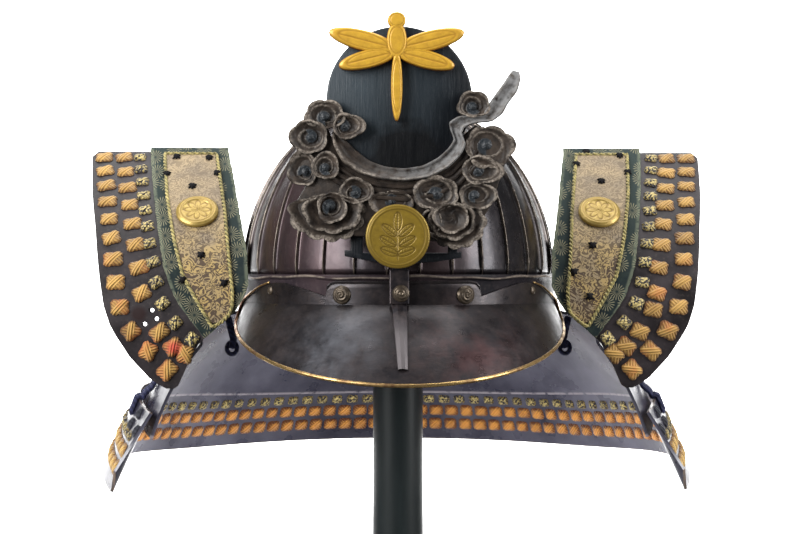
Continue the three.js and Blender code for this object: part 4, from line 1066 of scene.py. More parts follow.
def medallion():
    rim_rows = [0.82, 0.84, 0.87, 0.89, 0.91, 0.94, 0.97, 0.99, 1, 1]
    share = np.concatenate([np.linspace(0.01, 0.8, 64), rim_rows])[:, None]
    turn = circle_turns(240)[None]
    x, z = MEDALLION_RADIUS * share * np.cos(turn), MEDALLION_RADIUS * share * np.sin(turn)
    lines = sprig_lines(x, z)
    profile = np.interp(share, [0, 0.8, 0.84, 0.88, 0.92, 0.96, 1], [0.98, 0.88, 0.86, 1, 0.84, 0.92, 0.6])
    height = MEDALLION_RISE * profile - ENGRAVING_DEPTH * lines
    height[-1] = 0
    grid = np.stack([x, -height, z], -1) + np.array(MEDALLION_CENTRE)
    rim_grooves = np.interp(share, [0.8, 0.84, 0.88, 0.92, 0.96, 1], [0, 0.5, 0, 0.6, 0, 0.5])
    cut = np.maximum(lines * 0.65, rim_grooves)
    piece = relief_piece("medallion", grid, {"cut": cut}, ring=True)
    material = gold("gilt_copper", (0.25, 0.165, 0.018), (0.05, 0.026, 0.005), 0.4)
    place_piece(piece, material, "gilt_metal", "crest_medallion")


dragonfly()
medallion()

# Neck guard
# Two wide lames of lacquered leather flare out behind the helmet, black with a blue-violet gloss; their inner
# faces are painted lighter, as painted light.
# The upper one fits round the band, and the lower one hangs from it on silk laces.
LAME_WALL = 2
UPPER_TURN = 100
UPPER_COLLAR = (108.3, 126.5)
UPPER_FLARE = (70, 61)
UPPER_TOP_Z, UPPER_EDGE_Z = 206, 135.5
LOWER_TURN = 107.5
LOWER_TOP = (180, 195)
LOWER_FLARE = (23.6, 20)
LOWER_TOP_Z, LOWER_EDGE_Z = 149, 96
SIDE_TURN = 75
END_START, END_RUN = 80, 28
CORNER_ROUNDING = 4.5
UPPER_COLUMNS = 181
CORNER_Y = 57.5
SHADED_SPOT = ((0, 200, 115), 150)


def end_share(turn):
    """0 along the lame, rising smoothly to 1 at its front ends, which drop and curl inwards."""
    share = np.clip((np.abs(turn) - END_START) / END_RUN, 0, 1)
    return share * share * (3 - 2 * share)


def on_upper(turn, row):
    """Outer face of the upper lame. The turn is from the back; rows below 0 are the collar on the band."""
    turn, row = np.broadcast_arrays(np.asarray(turn, float), np.asarray(row, float))
    radians = np.radians(turn)
    down = np.clip(row, 0, 1)
    across = UPPER_COLLAR[0] + UPPER_FLARE[0] * down**0.55
    back = UPPER_COLLAR[1] + UPPER_FLARE[1] * down**0.75
    edge = UPPER_EDGE_Z + 7 * np.exp(-(((np.abs(turn) - SIDE_TURN) / 30) ** 2)) - 13 * end_share(turn)
    curl = np.sign(turn) * 8 * end_share(turn) * down**2
    z = np.where(row < 0, UPPER_TOP_Z - row * 80, UPPER_TOP_Z - (UPPER_TOP_Z - edge) * row)
    return np.stack([across * np.sin(radians) - curl, back * np.cos(radians), z], -1)


def upper_limit(row):
    """The turn at which the upper lame ends: its front corners stop at one depth."""
    back = UPPER_COLLAR[1] + UPPER_FLARE[1] * np.clip(row, 0, 1) ** 0.75
    full = np.degrees(np.arccos(-CORNER_Y / back))
    return UPPER_TURN + (full - UPPER_TURN) * np.clip((row - 0.12) / 0.13, 0, 1)


def on_lower(turn, row):
    """Outer face of the lower lame, whose ends drop to rounded corners."""
    turn, row = np.broadcast_arrays(np.asarray(turn, float), np.asarray(row, float))
    radians = np.radians(turn)
    drop = 8 * end_share(turn) - 5 * np.exp(-(((np.abs(turn) - SIDE_TURN) / 20) ** 2))
    top = LOWER_TOP_Z - drop
    into_corner = np.clip(np.abs(turn) - LOWER_TURN + CORNER_ROUNDING, 0, None) / CORNER_ROUNDING
    rounding = 16 * into_corner**2
    edge = LOWER_EDGE_Z - drop + rounding
    wide, deep = (start + flare * row for start, flare in zip(LOWER_TOP, LOWER_FLARE))
    across = wide * np.sin(radians) - np.sign(turn) * 10 * end_share(turn)
    return np.stack([across, deep * np.cos(radians), top + (edge - top) * row], -1)


def lame_material(name, edge):
    material, tree, wire = finish(name, Coat_Weight=0.3, Coat_Roughness=0.18, Specular_IOR_Level=0.5)
    cloud = ramp(tree, noise(tree, 45, 5, 0.6), 0.35, 0.65)
    dust = ramp(tree, noise(tree, 1.6, 6, 0.75), 0.6, 0.72)
    # Painted light: the inner faces get lighter copies of both tones, as if lit.
    inner = attribute(tree, "inner")
    dark = mix(tree, inner, (0.018, 0.017, 0.028), (0.05, 0.049, 0.074))
    light = mix(tree, inner, (0.042, 0.039, 0.06), (0.13, 0.127, 0.17))
    skin = mix(tree, cloud, dark, light)
    skin = mix(tree, times(tree, near(tree, *SHADED_SPOT), 0.75), skin, (0.022, 0.02, 0.032))
    skin = mix(tree, times(tree, dust, 0.14), skin, (0.14, 0.13, 0.15))
    pale_edge = times(tree, attribute(tree, "edge"), ramp(tree, noise(tree, 5, 5), 0.3, 0.5))
    skin = mix(tree, pale_edge, skin, edge)
    rough = spread(tree, noise(tree, 22, 5), 0.24, 0.42, 0.35, 0.7)
    wire(Base_Color=skin, Roughness=rough, Normal=bump(tree, noise(tree, 26, 3), 0.7, 0.3))
    return material


def lames():
    collar, neck, flare = [-0.1, -0.05, 0], np.linspace(0.02, 0.3, 15), np.linspace(0.34, 0.97, 18)
    row = np.concatenate([collar, neck, flare, [0.985, 1]])[:, None]
    share = np.linspace(-1, 1, UPPER_COLUMNS)[None]
    upper = plate("upper_lame_plate", on_upper(share * upper_limit(row), row)[:, ::-1], LAME_WALL, 50)
    pale_edge = np.broadcast_to((row > 0.98).astype(float), (len(row), UPPER_COLUMNS))
    add_attribute(upper, "edge", np.tile(pale_edge.ravel(), 2))
    # The inner faces are marked, to be painted lighter as painted light.
    add_attribute(upper, "inner", np.repeat([0.0, 1.0], pale_edge.size))
    place_piece(upper, lame_material("lame_lacquer", (0.3, 0.27, 0.3)), "black_lacquer", "upper_lame")
    row = np.concatenate([[0, 0.02], np.linspace(0.05, 0.95, 19), [0.98, 1]])[:, None]
    straight = LOWER_TURN - CORNER_ROUNDING
    ends = LOWER_TURN - CORNER_ROUNDING * (1 - np.cos(np.linspace(0, np.pi / 2, 12)))
    turn = np.unique(np.concatenate([-ends, np.linspace(-straight, straight, 165), ends]))[None]
    lower = plate("lower_lame_plate", on_lower(turn, row)[:, ::-1], LAME_WALL, 50)
    pale_edge = np.broadcast_to(np.isin(row, [0, 1]).astype(float), (len(row), turn.shape[1]))
    add_attribute(lower, "edge", np.tile(pale_edge.ravel(), 2))
    add_attribute(lower, "inner", np.repeat([0.0, 1.0], pale_edge.size))
    place_piece(lower, lame_material("lower_lacquer", (0.2, 0.15, 0.12)), "black_lacquer", "lower_lame")


lames()

# Silk knots of the neck guard
# Three rows of flat silk braid are sewn along the lower lame, and cross in a knot at every stitch.
# The top row is speckled and the others are orange, and the same rows show on both faces.
KNOT_ROWS = [
    {"level": "top", "row": 0.37, "silk": "speckled", "width": 9.8, "height": 8},
    {"level": "middle", "row": 0.545, "silk": "orange", "width": 12.2, "height": 10.6},
    {"level": "bottom", "row": 0.755, "silk": "orange", "width": 12.2, "height": 10.9},
]
KNOT_PITCH = 12.4
KNOT_LIMIT = 102
STRAP_HALF_WIDTH = 0.42
RIB_PITCH = 1.8
STAINED_KNOT_SPOT = ((-145.9, -61, 183), 6.5)
STRAP_EDGE = 2.3
HALF_DIAGONAL = 0.7071


def knot_points(centres, rights, ups, sizes, sides, rings, rise):
    """Grids of many knots at once: points, and the place of each on its knot in millimetres.
    Each outline is a four-lobed round, and two straps cross on it, the one over the other."""
    share = np.linspace(1, 0.0, rings)[:, None]
    turn = circle_turns(sides)[None]
    lobes = 1 + 0.13 * np.cos(4 * (turn - np.pi / 4)) + 0.025 * np.cos(12 * turn)
    u, v = share * lobes * np.cos(turn), share * lobes * np.sin(turn)
    over = np.clip(1.6 - np.abs(u - v) / STRAP_HALF_WIDTH, 0, 1)
    pillow = np.clip(1 - (share * 0.96) ** 3, 0, 1)
    height = rise * (pillow * 0.75 + 0.25 * over * (share < 0.99)) * (share < 0.999)
    normals = np.cross(rights, ups)
    wide, tall = sizes[:, 0, None, None], sizes[:, 1, None, None]
    points = centres[:, None, None] + rights[:, None, None] * (u * wide)[..., None]
    points = points + ups[:, None, None] * (v * tall)[..., None]
    points = points + normals[:, None, None] * height[None, ..., None]
    return points, np.broadcast_to(u * wide, points.shape[:3]), np.broadcast_to(v * tall, points.shape[:3])


def knot_mesh(name, centres, rights, ups, sizes, sides=16, rings=5, rise=1.9, eye=0.0):
    points, u, v = knot_points(centres, rights, ups, sizes, sides, rings, rise)
    one = grid_faces(rings, sides, ring=True)
    count = rings * sides
    faces = (one[None] + np.arange(len(centres))[:, None, None] * count).reshape(-1, 4)
    piece = new_mesh(name, points.reshape(-1, 3), faces.tolist())
    shade = np.repeat(random.random(len(centres)), count)
    # Painted shadow: each knot's two outer rings are marked dark, most along its top; an eye darkens its
    # middle.
    shadow = 0.75 + 0.6 * np.clip(np.sin(circle_turns(sides)), 0, 1)
    depth = np.zeros(rings)
    depth[:2] = [1, 0.5]
    depth[-1] = eye
    rim = np.broadcast_to(depth[:, None] * shadow, (len(centres), rings, sides))
    for key, value in (("across", u), ("up", v), ("tone", shade), ("rim", rim)):
        add_attribute(piece, key, value)
    return piece


def silk_material(name, light, dark, fleck=None, stained=False):
    material, tree, wire = finish(
        name, Sheen_Weight=0.25, Sheen_Roughness=0.5, Specular_IOR_Level=0.3, Roughness=0.62
    )
    u, v = attribute(tree, "across"), attribute(tree, "up")
    one = times(tree, plus(tree, u, v), HALF_DIAGONAL)
    two = times(tree, minus(tree, u, v), HALF_DIAGONAL)
    upper = math(tree, "LESS_THAN", math(tree, "ABSOLUTE", two), STRAP_EDGE)
    across = node(tree, "Mix", {0: upper, 2: one, 3: two}).outputs[0]
    rib = math(tree, "SINE", times(tree, across, 2 * np.pi / RIB_PITCH))
    rib = times(tree, plus(tree, rib, 1.0), 0.5)
    # Painted shade: the strap lying underneath, the grooves between ribs and each knot's marked rim are
    # darkened; tone and dirt are the silk's own.
    under = times(tree, minus(tree, 1.0, upper), 0.25)
    groove = ramp(tree, rib, 0.45, 0.0)
    shade = plus(tree, times(tree, groove, 0.42), times(tree, attribute(tree, "rim"), 0.8))
    shade = plus(tree, plus(tree, shade, under), times(tree, attribute(tree, "tone"), 0.3))
    dirt = ramp(tree, noise(tree, 10, 5), 0.42, 0.7)
    colour = mix(tree, ramp(tree, plus(tree, shade, times(tree, dirt, 0.3)), 0.1, 1.15), light, dark)
    if stained:
        red = ramp(tree, noise(tree, 13, 4), 0.5, 0.68)
        red = times(tree, minus(tree, 1.0, height_fade(tree, 215, 255)), times(tree, red, 0.5))
        colour = mix(tree, red, colour, (0.5, 0.12, 0.03))
        soaked = ramp(tree, near(tree, *STAINED_KNOT_SPOT), 0.05, 0.6)
        colour = mix(tree, soaked, colour, (0.5, 0.07, 0.035))
    if fleck is not None:
        colour = mix(tree, ramp(tree, noise(tree, 1.5, 2, 0.5), 0.48, 0.54), colour, fleck)
    wire(Base_Color=colour, Normal=bump(tree, rib, 0.5, 1.0))
    return material


GOLD_SILK = silk_material("gold_silk", (0.55, 0.32, 0.08), (0.11, 0.045, 0.008), stained=True)
SPECKLED_SILK = silk_material("speckled_silk", (0.62, 0.49, 0.19), (0.16, 0.11, 0.03), (0.02, 0.017, 0.02))
SILKS = {
    "orange": (silk_material("orange_silk", (0.84, 0.36, 0.07), (0.13, 0.038, 0.008)), "orange_silk"),
    "gold": (GOLD_SILK, "orange_silk"),
    "yellow": (silk_material("yellow_silk", (0.7, 0.45, 0.13), (0.2, 0.09, 0.015)), "orange_silk"),
    "speckled": (SPECKLED_SILK, "speckled_silk"),
}


def lame_knots():
    for face, lift in (("outside", 0.2), ("inside", -LAME_WALL - 0.2)):
        for line in KNOT_ROWS:
            fine = np.linspace(-KNOT_LIMIT, KNOT_LIMIT, 800)
            path = on_lower(fine, line["row"])
            run = run_along(path)
            count = int(run[-1] / KNOT_PITCH)
            turn = np.interp((np.arange(count) + 0.5) / count * run[-1], run, fine)
            right = on_lower(turn + 0.5, line["row"]) - on_lower(turn - 0.5, line["row"])
            up = on_lower(turn, line["row"] - 0.05) - on_lower(turn, line["row"] + 0.05)
            right = unit(right)
            up = unit(up)
            outward = np.cross(up, right)
            centres = on_lower(turn, line["row"]) + outward * lift
            if face == "outside":
                right = -right
            sizes = np.stack([np.full(count, line["width"] / 2), np.full(count, line["height"] / 2)], 1)
            sizes *= random.uniform(0.92, 1.04, (count, 2))
            speckled = line["silk"] == "speckled"
            material, slot = SILKS["yellow" if face == "outside" and not speckled else line["silk"]]
            row = f"{face}_{line['level']}"
            piece = knot_mesh(f"lame_row_{row}", centres, right, up, sizes, eye=speckled * 1.6)
            place_piece(piece, material, slot, f"lame_knots_{row}")


lame_knots()

# Laces and cords
# Each lace is a pair of indigo silk braids from the upper lame over the top of the lower one.
# Black lacing crosses outside each front corner, and cut cord ends hang in the corners of the upper lame.
LACE_TURNS = [-94.4, -68.7, -42.9, -25.75, 0, 25.75, 42.9, 68.7, 94.4]
LACE_RADIUS = 1.7
LACE_SPREAD = 2.2
CORNER_CORD_RADIUS = 2.4
CORNER_CORD_TURN = 97.0
CROSS_KNOTS = [(-100.5, 0.09, 4.6), (-103.5, 0.27, 4.8), (-97.5, 0.26, 4.4)]


def outward_on(surface, turn, row):
    along = surface(turn + 0.2, row) - surface(turn - 0.2, row)
    up = surface(turn, row - 0.02) - surface(turn, row + 0.02)
    return unit(np.cross(up, along)), unit(along), unit(up)


def cord_material(name, light, dark, pitch):
    material, tree, wire = finish(
        name, Sheen_Weight=0.2, Sheen_Roughness=0.5, Roughness=0.7, Specular_IOR_Level=0.25
    )
    links = {"Vector": place_socket(tree), "Scale": 1 / (pitch * MM * 6.28), "Distortion": 1.5}
    twist = node(tree, "TexWave", links, bands_direction="DIAGONAL").outputs["Fac"]
    wear = ramp(tree, noise(tree, 8, 4), 0.4, 0.7)
    shade = plus(tree, times(tree, twist, 0.6), times(tree, wear, 0.4))
    wire(Base_Color=mix(tree, shade, dark, light), Normal=bump(tree, twist, 0.4, 0.8))
    return material


def lace(turn, material, name):
    top_normal, along, _ = outward_on(on_lower, turn, 0.1)
    upper_normal, _, _ = outward_on(on_upper, turn, 0.7)
    rim = on_lower(turn, 0) - top_normal * 1
    path = np.array([
        on_upper(turn, 0.6) + upper_normal * 0.4,
        on_upper(turn, 0.64) + upper_normal * 2.2,
        on_upper(turn, 0.72) + upper_normal * 2.1,
        (on_upper(turn, 0.72) + rim) / 2 + upper_normal * 2,
        rim - top_normal * 1.2 + [0, 0, 1.3],
        rim + [0, 0, 2.2],
        on_lower(turn, 0) + top_normal * 1.6 + [0, 0, 0.6],
        on_lower(turn, 0.09) + top_normal * 1.5,
        on_lower(turn, 0.17) + top_normal * 1.4,
        on_lower(turn, 0.19) + top_normal * 0.2,
    ])
    smooth = resample(path, 40)
    cords = [tube("lace_cord", smooth + along * side * LACE_SPREAD, LACE_RADIUS, 8) for side in (-1, 1)]
    place_piece(join(name + "_pair", cords), material, "indigo_silk", name)


def laces():
    material = cord_material("indigo_braid", (0.035, 0.04, 0.11), (0.008, 0.009, 0.03), 1.1)
    for number, turn in enumerate(LACE_TURNS):
        lace(turn, material, f"lace_{number + 1}")
    for side, name in SIDES:
        normal, _, _ = outward_on(on_upper, side * CORNER_CORD_TURN, 0.02)
        start = on_upper(side * CORNER_CORD_TURN, 0.02) - normal * 3.8
        step = np.array([-side * 2, -3, -7])
        path = [start, start + step * 0.5, start + step, start + step * 1.5, start + step * 2]
        path += [path[-1] + np.array([side * 0.4, -0.3, -3]), path[-1] + np.array([side, 0, -6])]
        path = np.array(path)
        twin = tube("corner_cord", path, CORNER_CORD_RADIUS, 12)
        turn = circle_turns(24)
        loop = path[-1] + np.stack([side * 3.4 * np.cos(turn), np.sin(turn), 4 * np.sin(turn)], 1)
        piece = join(f"corner_cord_{name}_end", [twin, tube("corner_loop", loop, 1.5, 8, close=True)])
        place_piece(piece, material, "indigo_silk", f"corner_cord_{name}")
    black = cord_material("black_cross", (0.03, 0.032, 0.045), (0.006, 0.006, 0.01), 0.9)
    centres, rights, ups, sizes = [], [], [], []
    for side in (-1, 1):
        for turn, row, size in CROSS_KNOTS:
            normal, along, up = outward_on(on_lower, -side * turn, row)
            centres.append(on_lower(-side * turn, row) + normal * 0.3)
            rights.append(-along)
            ups.append(up)
            sizes.append([size * 0.8, size])
    centres, rights, ups, sizes = map(np.array, (centres, rights, ups, sizes))
    knots = knot_mesh("corner_crosses", centres, rights, ups, sizes, sides=24, rings=8, rise=2.2)
    place_piece(knots, black, "indigo_silk")


laces()

# Wings
# The front corners of the upper lame turn back as two broad wings, laced with three rows of silk knots.
# Each is faced with printed leather inside a cloth border, with a braid, black thread and a gilt boss.
WING_INNER = np.array([
    [156.7, 146], [158.5, 143.4], [173, 137], [185, 130.7], [195, 120], [206.5, 107.7], [214, 103.5],
    [223, 101], [245, 103.7], [269, 107.4], [295, 112.3], [316, 118],
])
WING_OUTER = np.array([
    [156.7, 151], [158.5, 154.5], [163, 161.5], [177, 174.5], [190, 183], [197, 187], [210, 191.5],
    [230, 195.5], [260, 201], [285, 207], [300, 210], [312, 212.5], [316, 209],
])
BORDER_OUTER = np.array([
    [189, 126.5], [197, 132.5], [209, 142], [217, 147], [234, 154], [269, 162], [300, 169], [316, 172.5],
])
BRAID_INNER = np.array([
    [197, 119.7], [200, 114.8], [204, 110.4], [209, 108.6], [218, 108.6], [245, 112.6], [269, 116],
    [290, 120.6], [312, 126],
])
BRAID_OUTER = np.array([
    [197, 121.7], [203, 125.5], [210, 130], [228, 141], [251, 148.3], [281, 156], [312, 162],
])
WING_WALL = 2
WING_FRONT_Y = -60
WING_BEND_Z, WING_BEND_RISE = 198, 118
WING_BEND_DEPTH = 94
OUTER_KNOTS = [
    [168.5, 150.4], [179, 161], [191, 172.2], [205.5, 180.2], [222, 183.9], [252, 189.3], [290, 198.4],
    [311, 203.8],
]
MIDDLE_KNOTS = [
    [178.7, 138.9], [183, 145.9], [192, 154.7], [204.6, 163.5], [216, 167], [231, 169.2], [260, 176],
    [297, 186.2], [311, 190],
]
INNER_KNOTS = [
    [188.5, 134.5], [194.5, 141.5], [203.3, 149], [213, 154.5], [224, 158], [253, 165], [291, 174],
    [311, 179],
]
WING_KNOTS = {
    "outer": (OUTER_KNOTS, "gold", 6.8, 5.8),
    "middle": (MIDDLE_KNOTS, "gold", 6.7, 5.7),
    "inner": (INNER_KNOTS, "speckled", 5, 4.4),
}
KNOTS_IN_ROW = 12
MISSING_KNOT_AT = (-165, 204.6)
MISSING_KNOT_REACH = 7
MIDDLE_ROW_START = [0, 9, 22, 39, 50.5]
WING_LIMITS, WING_STEPS = (156.7, 316), (40, 90)
BORDER_LIMITS, BORDER_STEPS = (189.5, 318), (40, 110)
LEATHER_LIMITS, LEATHER_STEPS = (199, 312), (30, 90)
BORDER_RUFFLE = 0.25
BORDER_OVERHANG = 3.4
BORDER_LIFT, LEATHER_LIFT, BRAID_LIFT = 1.3, 2.5, 2.7
KNOT_LIFT, BOSS_LIFT, THREAD_LIFT = 0.4, 2.9, 2.3
CLOTH_WALL = 1
THREAD_TURNS = (0.5, 2.5, 3.9, 4.7, 5.6)
LEATHER_INSET = np.array([0, 1.2])
BRAID_TWIST = 5.2
BRAID_SPREAD = 0.62
BRAID_STRAND_RADIUS = 0.68
BOSS_AT = (134.5, 269.5)
BOSS_RADIUS = 14
BOSS_RISE = 3.2
LEFT_THREADS = [
    (153.2, 309.5), (130.7, 308.7), (158.3, 296.7), (123.9, 297.4), (139.7, 287.9), (130.1, 241.6),
    (141.1, 225.9), (114.3, 223.9),
]
RIGHT_THREADS = [
    (133.6, 313.8), (156.5, 311), (124.8, 304.5), (159.4, 298.5), (139.8, 291.9), (127.3, 247.9),
    (113.3, 230.8), (122.8, 215.5),
]
THREAD_KNOTS = {-1: LEFT_THREADS, 1: RIGHT_THREADS}
LACE_HOLES = [(-160.2, 207.2), (-157.2, 201.7), (-164.7, 198.3)]
LACE_HOLE_RADIUS = 1.3
LACE_HOLE_DEPTHS = (-64, -54)
STAIN_SPOT = ((-168.9, -60, 205), 6.5)


def wing_depth(z):
    """How far back the wing's face has bent at a height."""
    return WING_FRONT_Y + WING_BEND_DEPTH * np.clip((z - WING_BEND_Z) / WING_BEND_RISE, 0, None) ** 1.8


def on_wing(side, x, z, lift=0.0):
    """A point on the wing's face, lifted off it along the slope of the bend."""
    slope = wing_depth(z + 0.5) - wing_depth(z - 0.5)
    norm = np.hypot(1, slope)
    return np.stack(np.broadcast_arrays(side * x, wing_depth(z) - lift / norm, z + lift * slope / norm), -1)


def off_wing(side, x, z, lift):
    """A point lifted off the wing's face, and the way straight off it."""
    base = on_wing(side, x, z, lift)
    return base, on_wing(side, x, z, lift + 1) - base


def wing_sheet(name, side, inner, outer, limits, lift, wall, steps, ruffle=0.0):
    """A sheet over the wing between two edge lines and two heights, its face lifted off the plate."""
    columns, rows = steps
    z = np.linspace(*limits, rows)[:, None]
    share = np.linspace(0, 1, columns)[None]
    start = np.interp(z, inner[:, 0], inner[:, 1])
    end = np.interp(z, outer[:, 0], outer[:, 1])
    x = start + (end - start) * share
    x = x + ruffle * np.sin(z * 0.9) * np.sin(z * 0.37 + side) * (np.abs(share - 0.5) > 0.49)
    rise = lift + ruffle * 0.4 * np.sin(x * 0.5 + z * 0.31)
    grid = on_wing(side, x, z, rise)
    grid = grid[:, ::-1] if side > 0 else grid
    return plate(name, grid, wall, 50), np.broadcast_to(share, x.shape)


def wing_lacquer():
    material, tree, wire = finish("wing_lacquer", Specular_IOR_Level=0.28)
    cloud = ramp(tree, noise(tree, 24, 5), 0.35, 0.68)
    scuff = ramp(tree, noise(tree, 2.4, 6, 0.72), 0.54, 0.7)
    skin = mix(tree, cloud, (0.01, 0.008, 0.009), (0.034, 0.027, 0.03))
    skin = mix(tree, times(tree, scuff, 0.35), skin, (0.09, 0.072, 0.062))
    stain = ramp(tree, near(tree, *STAIN_SPOT), 0, 0.5)
    skin = mix(tree, stain, skin, (0.014, 0.004, 0.004))
    wire(Base_Color=skin, Roughness=spread(tree, cloud, 0.34, 0.5))
    return material


def pierce(piece, holes, radius, front, back):
    """Round holes straight through a piece, each at its x and z."""
    turn = circle_turns(20)
    circle = np.stack([np.cos(turn), np.sin(turn)], 1) * radius
    drill = join("drill", [slab("drill", circle + hole, front, back, 0.1) for hole in holes])
    cut = piece.modifiers.new("holes", "BOOLEAN")
    cut.operation, cut.object = "DIFFERENCE", drill
    bpy.context.view_layer.update()
    pierced = bpy.data.meshes.new_from_object(piece.evaluated_get(bpy.context.evaluated_depsgraph_get()))
    piece.modifiers.clear()
    piece.data = pierced
    bpy.data.objects.remove(drill)


def needle_mask(tree, size_mm, lines):
    """Fans of pine needles: spokes round scattered centres, kept to a ring round each."""
    place = node(tree, "SeparateXYZ", {0: place_socket(tree)}).outputs
    flat = node(tree, "CombineXYZ", {0: place["X"], 1: place["Z"]}).outputs[0]
    links = {"Vector": flat, "Scale": 1 / (size_mm * MM), "Randomness": 0.85}
    cell = node(tree, "TexVoronoi", links, voronoi_dimensions="2D")
    away = node(tree, "VectorMath", {0: flat, 1: cell.outputs["Position"]}, operation="SUBTRACT").outputs[0]
    parts = node(tree, "SeparateXYZ", {0: away}).outputs
    angle = math(tree, "ARCTAN2", parts["Y"], parts["X"])
    spoke = math(tree, "SINE", times(tree, angle, float(lines)))
    reach = cell.outputs["Distance"]
    ring = times(tree, ramp(tree, reach, 0.5, 0.42), ramp(tree, reach, 0.05, 0.12))
    return times(tree, ramp(tree, spoke, 0.25, 0.7), ring)


def border_material():
    material, tree, wire = finish(
        "pine_cloth", Roughness=0.85, Sheen_Weight=0.05, Sheen_Roughness=0.5, Specular_IOR_Level=0.15
    )
    weave = noise(tree, 0.8, 2, 0.6)
    base = mix(tree, height_fade(tree, 215, 300), (0.008, 0.014, 0.016), (0.024, 0.036, 0.034))
    base = mix(tree, ramp(tree, noise(tree, 9, 5, 0.65), 0.42, 0.66), base, (0.02, 0.03, 0.027))
    base = mix(tree, times(tree, needle_mask(tree, 11.5, 17), 0.62), base, (0.29, 0.265, 0.165))
    # Painted highlight: patches of lighter colour along the cloth's edges.
    edge = times(tree, attribute(tree, "edge"), ramp(tree, noise(tree, 3, 4), 0.3, 0.5))
    base = mix(tree, times(tree, edge, 0.4), base, (0.2, 0.22, 0.15))
    wire(Base_Color=base, Normal=bump(tree, weave, 0.25, 0.6))
    return material


def leather_material():
    material, tree, wire = finish("printed_leather", Roughness=0.6, Specular_IOR_Level=0.35)
    links = {"Vector": place_socket(tree), "Scale": 1 / (5 * MM), "Detail": 1.0}
    swirl = node(tree, "TexNoise", {**links, "Roughness": 0.5, "Distortion": 1.2}).outputs["Fac"]
    line = math(tree, "ABSOLUTE", minus(tree, math(tree, "FRACT", times(tree, swirl, 4.5)), 0.5))
    print_mask = ramp(tree, line, 0.31, 0.2)
    # Painted light: towards the top the print fades and the tan greys, washed out as if by light from above.
    low = minus(tree, 1.0, height_fade(tree, 235, 275))
    strength = plus(tree, 0.45, times(tree, low, 0.52))
    tan = mix(tree, low, (0.33, 0.25, 0.145), (0.36, 0.25, 0.085))
    tan = mix(tree, ramp(tree, noise(tree, 16, 5), 0.4, 0.66), tan, (0.22, 0.17, 0.11))
    colour = mix(tree, times(tree, print_mask, strength), tan, (0.05, 0.03, 0.018))
    wire(Base_Color=colour, Normal=bump(tree, noise(tree, 1.1, 4), 0.2, 0.5))
    return material


def braid_path():
    """Up the outer line of the braid, over the top and down the inner one, evenly spaced."""
    up, down = BRAID_OUTER, BRAID_INNER[::-1]
    line = np.concatenate([up, down, up[:1]])
    run = run_along(line)
    at = np.linspace(0, run[-1], 620, endpoint=False)
    z, x = np.interp(at, run, line[:, 0]), np.interp(at, run, line[:, 1])
    return x, z, at


def braid(side):
    x, z, at = braid_path()
    middle, out = off_wing(side, x, z, BRAID_LIFT)
    along = np.roll(middle, -1, 0) - np.roll(middle, 1, 0)
    across = np.cross(unit(along), out)
    strands = []
    for strand in range(2):
        twist = (at * 2 * np.pi / BRAID_TWIST + strand * np.pi)[:, None]
        path = middle + BRAID_SPREAD * (np.cos(twist) * across + np.sin(twist) * out)
        strands.append(tube("strand", path, BRAID_STRAND_RADIUS, 6, close=True))
    return join("twisted_braid", strands)


def wing_knot_row(side, side_name, name, line, wide, tall, material, slot):
    line = np.array(line, float)
    line = resample(line, 200)
    path = on_wing(1, line[:, 1], line[:, 0])
    run = run_along(path)
    at = np.linspace(0, run[-1], KNOTS_IN_ROW)
    if name == "middle":
        even = np.linspace(MIDDLE_ROW_START[-1], run[-1], KNOTS_IN_ROW - 4)
        at = np.concatenate([MIDDLE_ROW_START, even[1:]])
    z, x = np.interp(at, run, line[:, 0]), np.interp(at, run, line[:, 1])
    if side < 0 and name == "middle":
        away = np.hypot(side * x - MISSING_KNOT_AT[0], z - MISSING_KNOT_AT[1])
        keep = away > MISSING_KNOT_REACH
        at, x, z = at[keep], x[keep], z[keep]
    ahead_z, ahead_x = np.interp(at + 1, run, line[:, 0]), np.interp(at + 1, run, line[:, 1])
    behind_z, behind_x = np.interp(at - 1, run, line[:, 0]), np.interp(at - 1, run, line[:, 1])
    centre, normal = off_wing(side, x, z, KNOT_LIFT)
    up = on_wing(side, ahead_x, ahead_z, KNOT_LIFT) - on_wing(side, behind_x, behind_z, KNOT_LIFT)
    up = unit(up)
    right = np.cross(up, normal)
    spin = random.normal(0, 0.14, len(x))[:, None]
    right, up = right * np.cos(spin) + up * np.sin(spin), up * np.cos(spin) - right * np.sin(spin)
    sizes = np.array([wide, tall]) * random.uniform(0.94, 1.06, (len(x), 2))
    knots = knot_mesh(f"wing_row_{name}", centre, right, up, sizes, sides=32, rings=9, rise=2.5)
    return place_piece(knots, material, slot, f"wing_knots_{side_name}_{name}")


